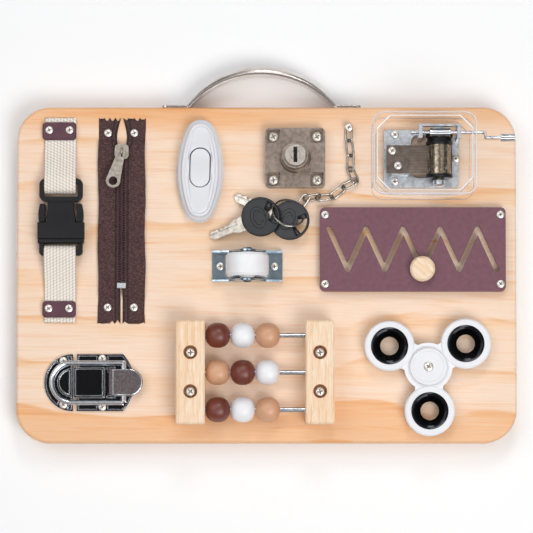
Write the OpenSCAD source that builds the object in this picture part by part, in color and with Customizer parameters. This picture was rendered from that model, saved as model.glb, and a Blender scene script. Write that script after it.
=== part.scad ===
/* [Board] */
// Width of the board
board_w = 300; // [280:1:340]
// Height of the board
board_h = 202; // [190:1:230]
// Thickness of the board
board_t = 18; // [15:0.5:24]
// Radius of the board's corners
board_corner_r = 20; // [10:1:30]
// Radius of the eased edges
board_edge_r = 2; // [1:0.5:4]

/* [Carry handle] */
// Place of the handle along the top edge
handle_x = -3; // [-20:1:20]
// Length over both feet
handle_l = 120; // [110:1:140]
// Width of the arch where it meets the feet
handle_arch_w = 91; // [80:1:100]
// Height of the arch above the top edge
handle_rise = 25.7; // [22:0.5:32]
// Width of the strip, across the board's edge
handle_strip_w = 14; // [10:0.5:15]
// Thickness of the feet
handle_foot_t = 1.5; // [1:0.1:2]
// Height of the crown on the outside of the arch
handle_crown = 4; // [2:0.5:5]

/* [Strap] */
// Centre of the strap, across the board
strap_x = -123.7; // [-125:0.1:-122]
// Width of the webbing
strap_w = 19; // [16:0.5:19.5]
// Thickness of the webbing
strap_t = 1.6; // [1.2:0.1:2]
// Upper end of the upper length
strap_top_y = 94; // [92:0.5:96]
// Lower end of the lower length
strap_low_y = -29; // [-32:0.5:-27]
// Length of a tab along the strap
tab_l = 10.4; // [9:0.1:12]
// Width of a tab
tab_w = 20.3; // [20:0.1:22]
// Thickness of a tab
tab_t = 1.8; // [1.5:0.1:2.5]

/* [Buckle] */
// Overall width of the buckle
buckle_w = 28; // [26:0.5:30]
// Thickness of the buckle
buckle_t = 8.5; // [7.5:0.5:10]
// Upper end of the female half
buckle_top_y = 57.4; // [56:0.2:59]
// Line where the two halves meet
buckle_split_y = 21; // [20:0.2:22]
// Lower end of the male half
buckle_low_y = 11; // [10:0.2:12]
// Clearance between the two halves
buckle_gap = 0.3; // [0.2:0.05:0.5]

/* [Zip] */
// Centre of the zip, across the board
zip_x = -86.9; // [-88:0.1:-86]
// Width of the closed zip, over both tapes
zip_w = 28.2; // [26:0.2:29]
// Upper end of the tapes
zip_top_y = 94.5; // [92:0.5:96]
// Lower end of the tapes
zip_low_y = -29.6; // [-32:0.5:-28]
// Thickness of the tape
zip_tape_t = 0.7; // [0.5:0.1:1]
// Height of the tape above the board between its screws
zip_lift = 1.6; // [1.4:0.1:2]
// Width of the closed coil
zip_coil_w = 5; // [4:0.2:6]
// Pitch of the coil's turns
zip_pitch = 1.5; // [1.2:0.1:2]
// Place of the slider's middle
zip_slider_y = 73.7; // [60:0.1:76]
// Place of the bottom stop's middle
zip_stop_y = -6.8; // [-10:0.1:-4]
// Length of the pull tab
zip_pull_l = 22.6; // [18:0.2:26]

/* [Rocker switch] */
// Centre of the switch, across the board
switch_x = -39.8; // [-42:0.1:-38]
// Centre of the switch, up the board
switch_y = 62; // [60:0.1:66]
// Length of the switch
switch_l = 62; // [56:1:66]
// Width of the switch
switch_w = 27.9; // [26:0.5:30]
// Height of the switch
switch_h = 11; // [9:0.5:13]
// Length of the rocker
rocker_l = 23; // [20:0.5:25]
// Width of the rocker
rocker_w = 11.6; // [10:0.2:13]
// Angle that the rocker tips to either side
rocker_tip = 4; // [2:0.5:6]

/* [Drawer lock] */
// Centre of the lock, across the board
lock_x = 17.2; // [14:0.1:18]
// Centre of the lock, up the board
lock_y = 69.8; // [68:0.1:71]
// Side of the square housing
lock_w = 36; // [34:0.5:38]
// Height of the housing
lock_h = 7; // [6:0.5:9]
// Radius of the cylinder
lock_cyl_r = 8.6; // [8:0.1:9.5]
// Height of the cylinder above the board
lock_cyl_h = 22; // [15:0.5:24]
// Travel of the bolt in half a turn of the plug
bolt_travel = 8; // [5:0.5:9]

/* [Chain and keys] */
// Outer length of a chain link
link_l = 11.6; // [11.4:0.1:12]
// Outer width of a chain link
link_w = 5.8; // [5.4:0.1:6.2]
// Diameter of the chain's wire
link_wire = 1.2; // [1:0.05:1.3]
// Mean radius of the split ring
ring_r = 9.6; // [9.4:0.1:9.8]
// Radius of a key's head
key_head_r = 11.8; // [11:0.1:12.5]
// Thickness of a key's head
key_head_t = 2.6; // [2.4:0.1:2.7]
// Thickness of a key's blade
key_blade_t = 1.6; // [1.2:0.1:1.8]

/* [Roller] */
// Centre of the roller, across the board
roller_x = -11.5; // [-13:0.1:-10]
// Centre of the roller, up the board
roller_y = 4.8; // [3:0.1:7]
// Length of the bracket
bracket_l = 42.2; // [40:0.5:46]
// Width of the bracket, over its flanges
bracket_w = 18.7; // [18:0.1:21]
// Thickness of the bracket's sheet
bracket_t = 1.2; // [1:0.1:1.5]
// Diameter of the wheel
wheel_d = 25.6; // [24:0.2:27]
// Width of the wheel
wheel_w = 13.8; // [12:0.2:14]
// Diameter of the wheel's pin
wheel_pin_d = 4; // [3:0.5:6]
// Height of the pin above the board
wheel_pin_h = 14.4; // [14.4:0.2:16]

/* [Music box] */
// Centre of the case, across the board
music_x = 93.9; // [92:0.1:95]
// Centre of the case, up the board
music_y = 69.8; // [68:0.1:71]
// Length of the case
case_l = 62; // [60:0.5:64]
// Width of the case
case_w = 49.7; // [48:0.5:51]
// Height of the case
case_h = 36; // [34:0.5:40]
// Wall of the case
case_wall = 1.8; // [1.2:0.1:2.2]
// Radius of the barrel
barrel_r = 6.6; // [6:0.1:7]
// Length of the barrel
barrel_l = 17.5; // [16:0.5:18]
// Number of teeth on the comb
comb_teeth = 18; // [12:1:20]
// Number of teeth on the barrel's gear
gear_teeth = 20; // [16:1:24]
// Diameter of the crank's shaft
crank_d = 2; // [1.6:0.1:2.4]
// Radius of the crank's arm
crank_arm = 12; // [8:0.5:14]

/* [Maze] */
// Centre of the maze plate, across the board
maze_x = 87.6; // [86:0.1:90]
// Centre of the maze plate, up the board
maze_y = 14.8; // [14:0.1:16]
// Length of the maze plate
maze_l = 111.3; // [108:0.5:114]
// Width of the maze plate
maze_w = 50.4; // [48:0.5:52]
// Thickness of the maze plate
maze_t = 6; // [5:0.5:8]
// Width of the zigzag slot
slot_w = 3.2; // [2.8:0.1:3.4]
// Height of a stroke of the zigzag
slot_rise = 24.4; // [20:0.5:26]
// Length of a stroke of the zigzag along the plate
slot_step = 11.13; // [10:0.1:11.3]
// Diameter of the wooden knob
knob_d = 15; // [13:0.5:17]

/* [Abacus] */
// Distance between the middles of the two posts
post_span = 77.1; // [76.6:0.1:90]
// Middle of the abacus, across the board
abacus_x = -6.7; // [-8:0.1:-5]
// Middle of the abacus, up the board
abacus_y = -59.8; // [-61:0.1:-58]
// Width of a post
post_w = 17.2; // [15:0.5:17.5]
// Length of a post
post_l = 61.6; // [60:0.5:66]
// Height of a post
post_h = 19; // [18:0.5:22]
// Distance between two rods
rod_pitch = 22.2; // [20:0.1:23]
// Diameter of a rod
rod_d = 3; // [2.5:0.1:4]
// Diameter of a bead
bead_d = 14.8; // [13:0.1:15]
// Clearance of a bead's bore round its rod
bead_gap = 0.4; // [0.2:0.05:0.8]

/* [Latch] */
// Middle of the latch, up the board
latch_y = -65; // [-68:0.1:-62]
// Left end of the catch plate
latch_left_x = -133.1; // [-135:0.1:-131]
// Right end of the base plate
latch_right_x = -79; // [-82:0.1:-78]
// Width of both plates
latch_w = 34.2; // [34:0.2:38]
// Thickness of the plates
latch_t = 1.5; // [1.2:0.1:2]
// Diameter of the bail's wire
bail_d = 2.8; // [2.4:0.1:3]
// Place of the lever's pivot
lever_x = -93; // [-94:0.1:-92]
// Distance from the lever's pivot to the bail's pin
lever_throw = 7.5; // [6.5:0.1:8.5]

/* [Spinner] */
// Centre of the spinner, across the board
spinner_x = 96.6; // [94:0.1:100]
// Centre of the spinner, up the board
spinner_y = -55.8; // [-58:0.1:-55]
// Distance from the centre to the middle of a lobe
lobe_c = 26.3; // [25:0.1:28]
// Radius of a lobe
lobe_r = 15; // [14.5:0.1:16]
// Thickness of the body
spinner_t = 7; // [6:0.5:9]
// Diameter of the centre bearing
bearing_d = 22; // [20:0.5:23]
// Angle of the first lobe
spinner_turn = 31.7; // [0:0.1:120]

/* [Hidden] */
$fn = 48;
face = board_t; // height of the board's front
top_y = board_h / 2; // top edge of the board
skin = 0.3; // gap between a moving part and what it passes
fit = 0.05; // radial gap of a screw or pin in its hole
cut = 1; // overlap of a cutter past what it cuts
joint_lap = 0.02; // how far a round joint or lobe steps off the side that it meets

// Screws: head radius, head height, shank radius, depth in the board
small_screw = [2.4, 1.3, 1, 8];
large_screw = [2.8, 1.5, 1.3, 11];
lock_screw = [3.2, 1.5, 1.3, 11];

// A rectangle with rounded corners, in the middle of its own frame
module rounded(w, l, r) {
  square([w - 2 * r, l], center = true);
  square([w, l - 2 * r], center = true);
  for (x = [-1, 1], y = [-1, 1])
    translate([x * (w / 2 - r), y * (l / 2 - r)])
      circle(r);
}

module slab(w, l, t, r) {
  linear_extrude(t)
    rounded(w, l, r);
}

// A line of even width through the points, with round joints
module stroke(points, t) {
  for (i = [0 : len(points) - 2]) {
    step = points[i + 1] - points[i];
    translate(points[i])
      rotate(atan2(step.y, step.x))
        translate([0, -t / 2])
          square([norm(step), t]);
  }
  for (p = points)
    translate(p)
      circle(t / 2 + joint_lap);
}

// A pan-head screw that points down, its head resting at height zero
module screw(spec, grip) {
  head_r = spec[0];
  head_h = spec[1];
  dome_r = (head_r * head_r + head_h * head_h) / (2 * head_h);
  length = grip + spec[3];
  difference() {
    intersection() {
      cylinder(h = head_h, r = head_r);
      translate([0, 0, head_h - dome_r])
        sphere(dome_r);
    }
    for (a = [45, 135])
      rotate(a)
        translate([-head_r * 0.55, -head_r * 0.11, head_h * 0.4])
          cube([head_r * 1.1, head_r * 0.22, head_h]);
  }
  translate([0, 0, -length + spec[2]])
    cylinder(h = length - spec[2] + 0.2, r = spec[2]);
  translate([0, 0, -length])
    cylinder(h = spec[2], r1 = spec[2] * 0.2, r2 = spec[2]);
}

module screws_at(places, spec, seat) {
  for (p = places)
    translate([p.x, p.y, seat])
      screw(spec, seat - face);
}

// Holes for the same screws, from the seat down into the board
module holes_at(places, spec, top) {
  for (p = places)
    translate([p.x, p.y, face - spec[3] - 0.5])
      cylinder(h = top - face + spec[3] + 0.5 + cut, r = spec[2] + fit);
}

// Places of the screws
tab_top_y = strap_top_y - 8;
tab_low_y = strap_low_y + 8;
strap_screw_places = [for (y = [tab_top_y + 0.8, tab_low_y + 0.4], x = [-1, 1]) [strap_x + x * 6.1 - 0.7, y]];
strap_seat = face + strap_t + tab_t;
zip_screw_places = [for (y = [zip_top_y - 9.2, zip_low_y + 9.8], x = [-1, 1]) [zip_x - 0.5 + x * 7.9, y]];
zip_seat = face + zip_tape_t;
maze_screw_places = [for (x = [-1, 1], y = [-1, 1]) [maze_x + x * (maze_l / 2 - 3.1), maze_y + y * (maze_w / 2 - 4.4)]];
maze_seat = face + maze_t;
roller_screw_places = [for (x = [-1, 1]) [roller_x + x * 16.2, roller_y]];
roller_seat = face + bracket_t;
chain_screw_place = [49.5, 88.4];
chain_seat = face + 4.2;
lock_screw_offset = lock_w / 2 - 4.9;
lock_screw_places = [for (x = [-1, 1], y = [-1, 1]) [lock_x + x * lock_screw_offset, lock_y + y * lock_screw_offset]];
lock_floor = 2; // sheet left under the screws in the corner recesses
lock_seat = face + lock_floor;
post_screw_places = [for (x = [-1, 1], y = [-1, 1]) [abacus_x + x * post_span / 2, abacus_y + 0.6 + y * 11.6]];
post_bore_depth = 5;
post_seat = face + post_h - post_bore_depth;
latch_seat = face + latch_t;
catch_screw_places = [for (y = [-1, 1]) [-121.6, latch_y + y * 13]];
base_screw_places = [for (y = [-1, 1]) [-98.3, latch_y + y * 14.4]];
latch_screw_places = concat(catch_screw_places, base_screw_places);
handle_screw_x = handle_l / 2 - 7;

module board_outline() {
  straight_w = board_w - 2 * board_corner_r;
  straight_h = board_h - 2 * board_corner_r;
  translate([-straight_w / 2, 0, board_t / 2])
    rotate([90, 0, 90])
      linear_extrude(straight_w)
        rounded(board_h, board_t, board_edge_r);
  translate([0, straight_h / 2, board_t / 2])
    rotate([90, 0, 0])
      linear_extrude(straight_h)
        rounded(board_w, board_t, board_edge_r);
  for (x = [-1, 1], y = [-1, 1])
    translate([x * straight_w / 2, y * straight_h / 2, board_t / 2])
      rotate_extrude()
        intersection() {
          rounded(2 * board_corner_r, board_t, board_edge_r);
          translate([0, -board_t])
            square([2 * board_corner_r, 2 * board_t]);
        }
}

module board() {
  color("#f0cfa4")
    difference() {
      board_outline();
      holes_at(strap_screw_places, small_screw, face);
      holes_at(zip_screw_places, small_screw, face);
      holes_at(maze_screw_places, small_screw, face);
      holes_at(roller_screw_places, small_screw, face);
      holes_at([chain_screw_place], small_screw, face);
      holes_at(lock_screw_places, lock_screw, face);
      holes_at(post_screw_places, large_screw, face);
      holes_at(latch_screw_places, small_screw, face);
      holes_at(frame_screw_places, small_screw, face);
      holes_at([[spinner_x, spinner_y]], large_screw, face);
      for (x = [-1, 1])
        translate([handle_x + x * handle_screw_x, top_y + cut, board_t / 2])
          rotate([90, 0, 0])
            cylinder(h = large_screw[3] + cut + 0.5, r = large_screw[2] + fit);
      maze_relief();
    }
}

// Arch of the carry handle through its ends and top, as [radius, half angle]
function arc_through(half_w, rise) =
  let (r = (half_w * half_w + rise * rise) / (2 * rise))
  [r, asin(half_w / r)];
function arc_point(half_w, low, high, u) =
  let (a = arc_through(half_w, high - low))
  [a[0] * sin(u * a[1]), high - a[0] + a[0] * cos(u * a[1])];

arch_steps = 28;
crown_steps = 8;
arch_half = handle_arch_w / 2;
arch_toe = 2; // length of the arch's foot that lies inside the foot plate
arch_sink = 0.1;
function arch_inside(u) = arc_point(arch_half - arch_toe, arch_sink, handle_rise - handle_crown - handle_foot_t, u);
function arch_edge(u) =
  arc_point(arch_half - arch_toe * 0.2, arch_sink + (handle_foot_t - 2 * arch_sink) * 0.8, handle_rise - handle_crown, u);
function arch_ridge(u) = arc_point(arch_half, handle_foot_t - arch_sink, handle_rise, u);
function crown_point(u, k) =
  let (t = 180 * k / crown_steps, p = arch_edge(u) * (1 - sin(t)) + arch_ridge(u) * sin(t))
  [p.x, p.y, handle_strip_w / 2 * cos(t)];
function arch_ring(u) = concat(
  [for (z = [-1, 1]) [arch_inside(u).x, arch_inside(u).y, z * handle_strip_w / 2]],
  [for (k = [0 : crown_steps]) crown_point(u, k)]);

module carry_handle() {
  rings = [for (i = [0 : arch_steps]) arch_ring(2 * i / arch_steps - 1)];
  n = len(rings[0]);
  foot_l = handle_l / 2 - arch_half + 2.5;
  color("#b9b4ae")
    translate([handle_x, top_y, board_t / 2])
      difference() {
        union() {
          polyhedron(
            [for (r = rings) each r],
            concat(
              [[for (j = [n - 1 : -1 : 0]) j]],
              [[for (j = [0 : n - 1]) arch_steps * n + j]],
              [for (i = [0 : arch_steps - 1], j = [0 : n - 1])
                each [[i * n + j, (i + 1) * n + (j + 1) % n, (i + 1) * n + j],
                  [i * n + j, i * n + (j + 1) % n, (i + 1) * n + (j + 1) % n]]]));
          for (x = [-1, 1])
            translate([x * (handle_l / 2 - foot_l / 2), handle_foot_t, 0])
              rotate([90, 0, 0])
                slab(foot_l, handle_strip_w, handle_foot_t, 2.4);
        }
        for (x = [-1, 1])
          translate([x * handle_screw_x, handle_foot_t + cut, 0])
            rotate([90, 0, 0])
              cylinder(h = handle_foot_t + 2 * cut, r = large_screw[2] + fit);
      }
}

// Strap: each length runs under its tab, climbs to the buckle and is sewn round a bar
buckle_z = face + skin;
bar_z = buckle_z + buckle_t / 2;
bar_r = 1.6;
upper_bar_y = buckle_top_y - bar_r;
lower_bar_y = buckle_low_y + bar_r;
strap_slot_w = strap_w + 1.6;
frame_t = 2 * bar_r + 1.6; // thickness of the buckle's two strap frames
strap_z = face + strap_t / 2;
over_bar = frame_t / 2 + strap_t / 2 + fit;

// Side view of a length: end is screwed, bar is its bar's middle, turn how far it passes the bar
function strap_path(end, tab, bar, turn) =
  let (s = sign(end - bar))
  [[end - s * strap_t / 2, strap_z],
   [tab - s * tab_l, strap_z],
   [bar + s * 7, bar_z + over_bar - 2],
   [bar + s * (bar_r + 0.6), bar_z + over_bar],
   [bar - s * (turn - 1.8), bar_z + over_bar],
   [bar - s * turn, bar_z + 0.9],
   [bar - s * turn, bar_z - 0.9],
   [bar - s * (turn - 1.8), bar_z - over_bar],
   [bar + s * bar_r, bar_z - over_bar],
   [bar + s * 7, strap_z + 0.4],
   [tab - s * (tab_l + 4), strap_z]];

module strap_length(path) {
  translate([strap_x - strap_w / 2, 0, 0])
    rotate([90, 0, 90])
      linear_extrude(strap_w)
        stroke(path, strap_t);
}

module strap_upper() {
  color("#e8e0d0")
    difference() {
      strap_length(strap_path(strap_top_y, tab_top_y, upper_bar_y, 6.6));
      holes_at(strap_screw_places, small_screw, strap_seat);
    }
}

module strap_lower() {
  color("#e8e0d0")
    difference() {
      strap_length(strap_path(strap_low_y, tab_low_y, lower_bar_y, 4));
      holes_at(strap_screw_places, small_screw, strap_seat);
    }
}

module strap_tabs() {
  color("#5e3550")
    difference() {
      for (y = [tab_top_y, tab_low_y])
        translate([strap_x - 0.6, y, face + strap_t])
          slab(tab_w, tab_l, tab_t, 2);
      holes_at(strap_screw_places, small_screw, strap_seat);
    }
}

// Buckle, drawn about the strap's middle line
sleeve_l = 9.8; // length of the sleeve that the male half enters
window_y = buckle_split_y + sleeve_l;
sleeve_wall = 1.5;
sleeve_in_w = buckle_w - 2 * sleeve_wall;
sleeve_in_t = buckle_t - 2 * sleeve_wall;
core_w = 17.2;
core_in_w = core_w - 2 * sleeve_wall - 1;
core_end_y = buckle_split_y + 19.4;
frame_w = buckle_w - 2;

module female_plan() {
  half = buckle_w / 2;
  neck_y = upper_bar_y - 12.6;
  polygon([
    [-frame_w / 2, neck_y + 5], [-core_w / 2 + 0.7, neck_y], [-core_w / 2 + 0.9, neck_y - 4],
    [-core_w / 2, window_y + 3], [-core_w / 2, window_y], [-half, window_y],
    [-half, buckle_split_y], [half, buckle_split_y],
    [half, window_y], [core_w / 2, window_y], [core_w / 2, window_y + 3],
    [core_w / 2 - 0.9, neck_y - 4], [core_w / 2 - 0.7, neck_y], [frame_w / 2, neck_y + 5]]);
}

module buckle_female() {
  slot_low_y = upper_bar_y - 9.4;
  loop_low_y = slot_low_y - 3;
  color("#1d1d20")
    translate([strap_x + 0.6, 0, 0])
      difference() {
        union() {
          translate([0, 0, buckle_z])
            linear_extrude(buckle_t)
              intersection() {
                female_plan();
                translate([-buckle_w, 0])
                  square([2 * buckle_w, slot_low_y - 0.2]);
              }
          translate([0, (buckle_top_y + loop_low_y) / 2, bar_z - frame_t / 2])
            slab(frame_w, buckle_top_y - loop_low_y, frame_t, 4);
        }
        translate([0, (upper_bar_y - bar_r + slot_low_y) / 2, buckle_z - cut])
          slab(strap_slot_w, upper_bar_y - bar_r - slot_low_y, buckle_t + 2 * cut, 1.2);
        translate([-sleeve_in_w / 2, buckle_split_y - cut, bar_z - sleeve_in_t / 2])
          cube([sleeve_in_w, sleeve_l + cut + 0.5, sleeve_in_t]);
        translate([-core_in_w / 2, buckle_split_y - cut, bar_z - sleeve_in_t / 2])
          cube([core_in_w, core_end_y - buckle_split_y + cut, sleeve_in_t]);
        for (z = [buckle_z - cut, bar_z + frame_t / 2])
          translate([-buckle_w, slot_low_y - 3.5, z])
            cube([2 * buckle_w, 20, (buckle_t - frame_t) / 2 + cut]);
      }
}

beam_l = 2.2;
beam_y = buckle_split_y - buckle_gap - beam_l;
leg_w = 2.2;
tongue_end_y = core_end_y - 1.2;
leg_out = sleeve_in_w / 2 - 0.4;

module buckle_male() {
  frame_l = beam_y + beam_l - buckle_low_y;
  slot_l = beam_y - buckle_low_y - 2 * bar_r;
  color("#1d1d20")
    translate([strap_x + 0.6, 0, 0]) {
      difference() {
        union() {
          translate([0, buckle_low_y + frame_l / 2, bar_z - frame_t / 2])
            slab(frame_w, frame_l, frame_t, 2.5);
          translate([-buckle_w / 2 + 0.2, beam_y, buckle_z])
            cube([buckle_w - 0.4, beam_l, buckle_t]);
        }
        translate([0, buckle_low_y + 2 * bar_r + slot_l / 2, buckle_z - cut])
          slab(strap_slot_w, slot_l, buckle_t + 2 * cut, 0.5);
      }
      translate([0, (beam_y + 1 + tongue_end_y) / 2, bar_z - sleeve_in_t / 2 + buckle_gap])
        slab(core_in_w - 1, tongue_end_y - beam_y - 1, sleeve_in_t - 2 * buckle_gap, 1.5);
    }
}

module buckle_prongs() {
  pad_y = window_y + buckle_gap;
  color("#1d1d20")
    for (side = [-1, 1])
      translate([strap_x + 0.6, 0, 0])
        mirror([side < 0 ? 1 : 0, 0, 0]) {
          translate([leg_out - leg_w, beam_y + beam_l, bar_z - sleeve_in_t / 2 + buckle_gap])
            cube([leg_w, pad_y - beam_y - beam_l + 2, sleeve_in_t - 2 * buckle_gap]);
          translate([0, 0, bar_z - buckle_t / 2 + 0.8])
            linear_extrude(buckle_t - 1.6)
              pad_plan(pad_y);
        }
}

// Thumb pad of a prong, with the step that catches on the sleeve
module pad_plan(pad_y) {
  pad_l = 10.8;
  arch_r = 22;
  out = buckle_w / 2 - 0.5;
  intersection() {
    translate([core_w / 2 + 0.9, pad_y])
      square([buckle_w, pad_l]);
    translate([out - arch_r, pad_y + 4])
      circle(arch_r, $fn = 96);
    translate([out - 7.6, pad_y + pad_l - 7.6])
      rounded(15.2, 30, 3);
  }
}

// Zip: two tapes, lifted between their screws for the slider's lower plate
zip_z = face + zip_tape_t / 2;
zip_top_z = face + zip_lift + zip_tape_t; // top of the lifted tape
zip_half = zip_w / 2;
tape_gap = 0.65; // half of the gap that the slider's post runs in
zip_open_w = 2.6; // half width of the opening above the slider
pink_w = zip_half / 4; // width of a tooth of the pinked ends
coil_top_y = zip_top_y - 3;
coil_low_y = zip_low_y + 1.5;
slider_l = 9;
slider_w = 8.4;
zip_open_y = zip_slider_y + 1; // where the tapes start to part
tooth_reach = 1.25; // how far a turn reaches past its tape's edge

// Half of the gap between the tapes at a height on the board
function tape_edge(y) =
  let (u = (y - zip_open_y) / (zip_top_y - zip_open_y))
  u <= 0 ? tape_gap : tape_gap + zip_open_w * sin(180 * pow(u, 0.8)) * (1 - 0.25 * u);

module tape_plan() {
  tooth = 2.4;
  edge_ys = [for (i = [0 : 12]) zip_open_y + (zip_top_y - tooth - zip_open_y) * i / 12];
  polygon(concat(
    [for (i = [0 : 8]) [zip_half - i * pink_w / 2, zip_top_y - (i % 2 == 0 ? 0 : tooth)]],
    [for (i = [12 : -1 : 0]) [tape_edge(edge_ys[i]), edge_ys[i]]],
    [for (i = [8 : -1 : 0]) [zip_half - i * pink_w / 2 * 0.955, zip_low_y + (i % 2 == 0 ? 0 : tooth)]]));
}

function tape_side() =
  [[zip_low_y - 1, zip_z], [zip_low_y + 13.5, zip_z], [zip_low_y + 19, zip_z + zip_lift],
   [zip_slider_y + 5, zip_z + zip_lift], [zip_slider_y + 9, zip_z], [zip_top_y + 1, zip_z]];

module tape_sheet(t) {
  translate([-zip_w, 0, 0])
    rotate([90, 0, 90])
      linear_extrude(2 * zip_w)
        stroke(tape_side(), t);
}

module zip_tapes() {
  color("#5a3a3c")
    difference() {
      for (side = [-1, 1])
        translate([zip_x, 0, 0])
          mirror([side < 0 ? 1 : 0, 0, 0])
            intersection() {
              tape_sheet(zip_tape_t);
              translate([0, 0, face - 1])
                linear_extrude(20)
                  intersection() {
                    tape_plan();
                    translate([tape_gap, zip_low_y - 1])
                      square([zip_half, zip_w * 6]);
                  }
            }
      holes_at(zip_screw_places, small_screw, zip_seat);
    }
}

// One row of the coil: a turn at every pitch, on a cord that joins them
function cord_x(y) = tape_edge(y) + zip_coil_w / 2 - tape_gap - 0.2;
module coil_row(low, high) {
  turn_r = zip_pitch / 4 - 0.03;
  count = floor((high - low) / zip_pitch);
  for (i = [0 : count]) {
    y = low + i * zip_pitch;
    translate([tape_edge(y) - tooth_reach, y, zip_top_z + turn_r + 0.35])
      rotate([0, 90, 0])
        cylinder(h = zip_coil_w / 2 - tape_gap + tooth_reach, r = turn_r, $fn = 16);
  }
  translate([0, 0, zip_top_z])
    linear_extrude(0.9)
      stroke([for (i = [0 : count]) [cord_x(low + i * zip_pitch), low + i * zip_pitch]], 0.8, $fn = 8);
}

module zip_coil() {
  color("#3b2628")
    translate([zip_x, 0, 0]) {
      coil_row(zip_stop_y + 2.4, zip_slider_y + 4.6);
      mirror([1, 0, 0])
        coil_row(zip_stop_y + 2.4 + zip_pitch / 2, zip_slider_y + 4.6);
    }
}

module zip_stop() {
  color("#c9cace")
    translate([zip_x, zip_stop_y, zip_top_z])
      slab(zip_coil_w + 0.2, 3.1, 1.8, 0.6);
}

slider_top_z = zip_top_z + 1.35 + 0.5; // underside of the slider's upper plate
slider_plate_t = 1;
pull_turn = -16; // how far the resting pull tab leans to the left
pull_t = 1.2;
arch_r = 2.5; // mean radius of the slider's arch
arch_wire = 1;
pull_z = slider_top_z + slider_plate_t + skin + pull_t / 2;

module zip_slider() {
  lower_z = face + 0.15;
  lower_t = zip_lift - 0.45;
  plate_z = slider_top_z + slider_plate_t;
  color("#b9b2a6")
    translate([zip_x, zip_slider_y, 0]) {
      for (z = [lower_z, slider_top_z])
        translate([0, 0, z])
          slab(slider_w, slider_l, z == lower_z ? lower_t : slider_plate_t, 2.6);
      translate([-tape_gap + 0.15, slider_l / 2 - 1.3, lower_z + lower_t / 2])
        cube([2 * tape_gap - 0.3, 1, slider_top_z - lower_z]);
      for (x = [-1, 1])
        translate([x * (slider_w / 2 - 0.35) - 0.35, -slider_l / 2 + 2.4, zip_top_z + 0.25])
          cube([0.7, slider_l / 2 - 1.4, slider_top_z - zip_top_z]);
      translate([0, 0, plate_z - 0.1])
        rotate([90, 0, 90])
          rotate_extrude(angle = 180)
            translate([arch_r, 0])
              circle(arch_wire / 2);
    }
}

// Pull tab: its end bar lies under the slider's arch
module zip_pull() {
  grip_y = -zip_pull_l + 4.4;
  grip_r = 4.4;
  neck_w = 5.6;
  color("#b9b2a6")
    translate([zip_x, zip_slider_y, pull_z])
      rotate(pull_turn)
        translate([0, 0, -pull_t / 2])
          difference() {
            linear_extrude(pull_t) {
              translate([0, -neck_w / 2 + 0.6])
                rounded(neck_w, neck_w, 1.6);
              polygon([[-2.6, -3.6], [2.6, -3.6], [grip_r - 0.2, grip_y + 0.4], [-grip_r + 0.2, grip_y + 0.4]]);
              translate([0, grip_y])
                circle(grip_r);
            }
            translate([0, -2.15, -cut])
              slab(3, 3.1, pull_t + 2 * cut, 1.2);
            translate([0, grip_y - 0.3, -cut])
              cylinder(h = pull_t + 2 * cut, r = 2.6);
            translate([0, 0, pull_t - 0.3])
              linear_extrude(cut)
                polygon([[-1.5, -6], [1.5, -6], [2.5, grip_y + 4.8], [-2.5, grip_y + 4.8]]);
          }
}

// Rocker switch: each outline is two wide arcs that run into a smaller one at each end
switch_angle = -1.2;
base_h = 4.5;
module oval(w, l) {
  end_r = 0.32 * w;
  end_y = l / 2 - end_r;
  side_r = (w * w / 4 + end_y * end_y - end_r * end_r) / (w - 2 * end_r);
  reach = end_y * side_r / (side_r - end_r);
  intersection() {
    translate([side_r - w / 2, 0])
      circle(side_r, $fn = 160);
    translate([w / 2 - side_r, 0])
      circle(side_r, $fn = 160);
    square([w + 1, 2 * reach], center = true);
  }
  for (y = [-end_y, end_y])
    translate([0, y])
      circle(end_r + joint_lap);
}

module switch_frame() {
  translate([switch_x, switch_y, face])
    rotate(switch_angle)
      children();
}

rocker_pivot_z = switch_h - 3.2;
rocker_y = 1.6;
module rocker_plan(grow) {
  rounded(rocker_w + 2 * grow, rocker_l + 2 * grow, (rocker_w + 2 * grow) / 2 - 0.02);
}

module switch_base() {
  color("#e9eaee")
    switch_frame()
      difference() {
        linear_extrude(base_h)
          oval(switch_w, switch_l);
        translate([0, 0, 1.5])
          linear_extrude(base_h)
            oval(switch_w - 4, switch_l - 4);
      }
}

module switch_cover() {
  wall = 1.4;
  brim_w = 2.4; // the lower brim, then the ridge, then a groove round the flat
  ridge_w = 2.9;
  groove_w = 0.5;
  brim_z = switch_h - 2.2;
  inner_w = switch_w - 2 * (brim_w + ridge_w);
  inner_l = switch_l - 2 * (brim_w + ridge_w) + 1.6;
  color("#f1f1f4")
    switch_frame()
      difference() {
        union() {
          translate([0, 0, base_h])
            linear_extrude(brim_z - base_h)
              oval(switch_w - 1.4, switch_l - 1.4);
          translate([0, 0, base_h])
            linear_extrude(switch_h - base_h)
              oval(switch_w - 2 * brim_w, switch_l - 2 * brim_w);
        }
        translate([0, 0, switch_h - 0.8])
          linear_extrude(1)
            difference() {
              oval(inner_w, inner_l);
              oval(inner_w - 2 * groove_w, inner_l - 2 * groove_w);
            }
        translate([0, 0, base_h - cut])
          linear_extrude(brim_z - base_h - wall + cut)
            oval(switch_w - 1.4 - 2 * wall, switch_l - 1.4 - 2 * wall);
        translate([0, rocker_y, base_h - cut])
          linear_extrude(switch_h)
            rocker_plan(0.45);
      }
}

module switch_rocker() {
  cap_r = 46;
  color("#f1f1f4")
    switch_frame()
      translate([0, rocker_y, rocker_pivot_z])
        rotate([rocker_tip, 0, 0])
          intersection() {
            translate([0, 0, -1.6])
              linear_extrude(switch_h)
                rocker_plan(-0.1);
            translate([-rocker_w, 0, switch_h + 0.9 - rocker_pivot_z - cap_r])
              rotate([0, 90, 0])
                cylinder(h = 2 * rocker_w, r = cap_r, $fn = 160);
          }
}

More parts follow.
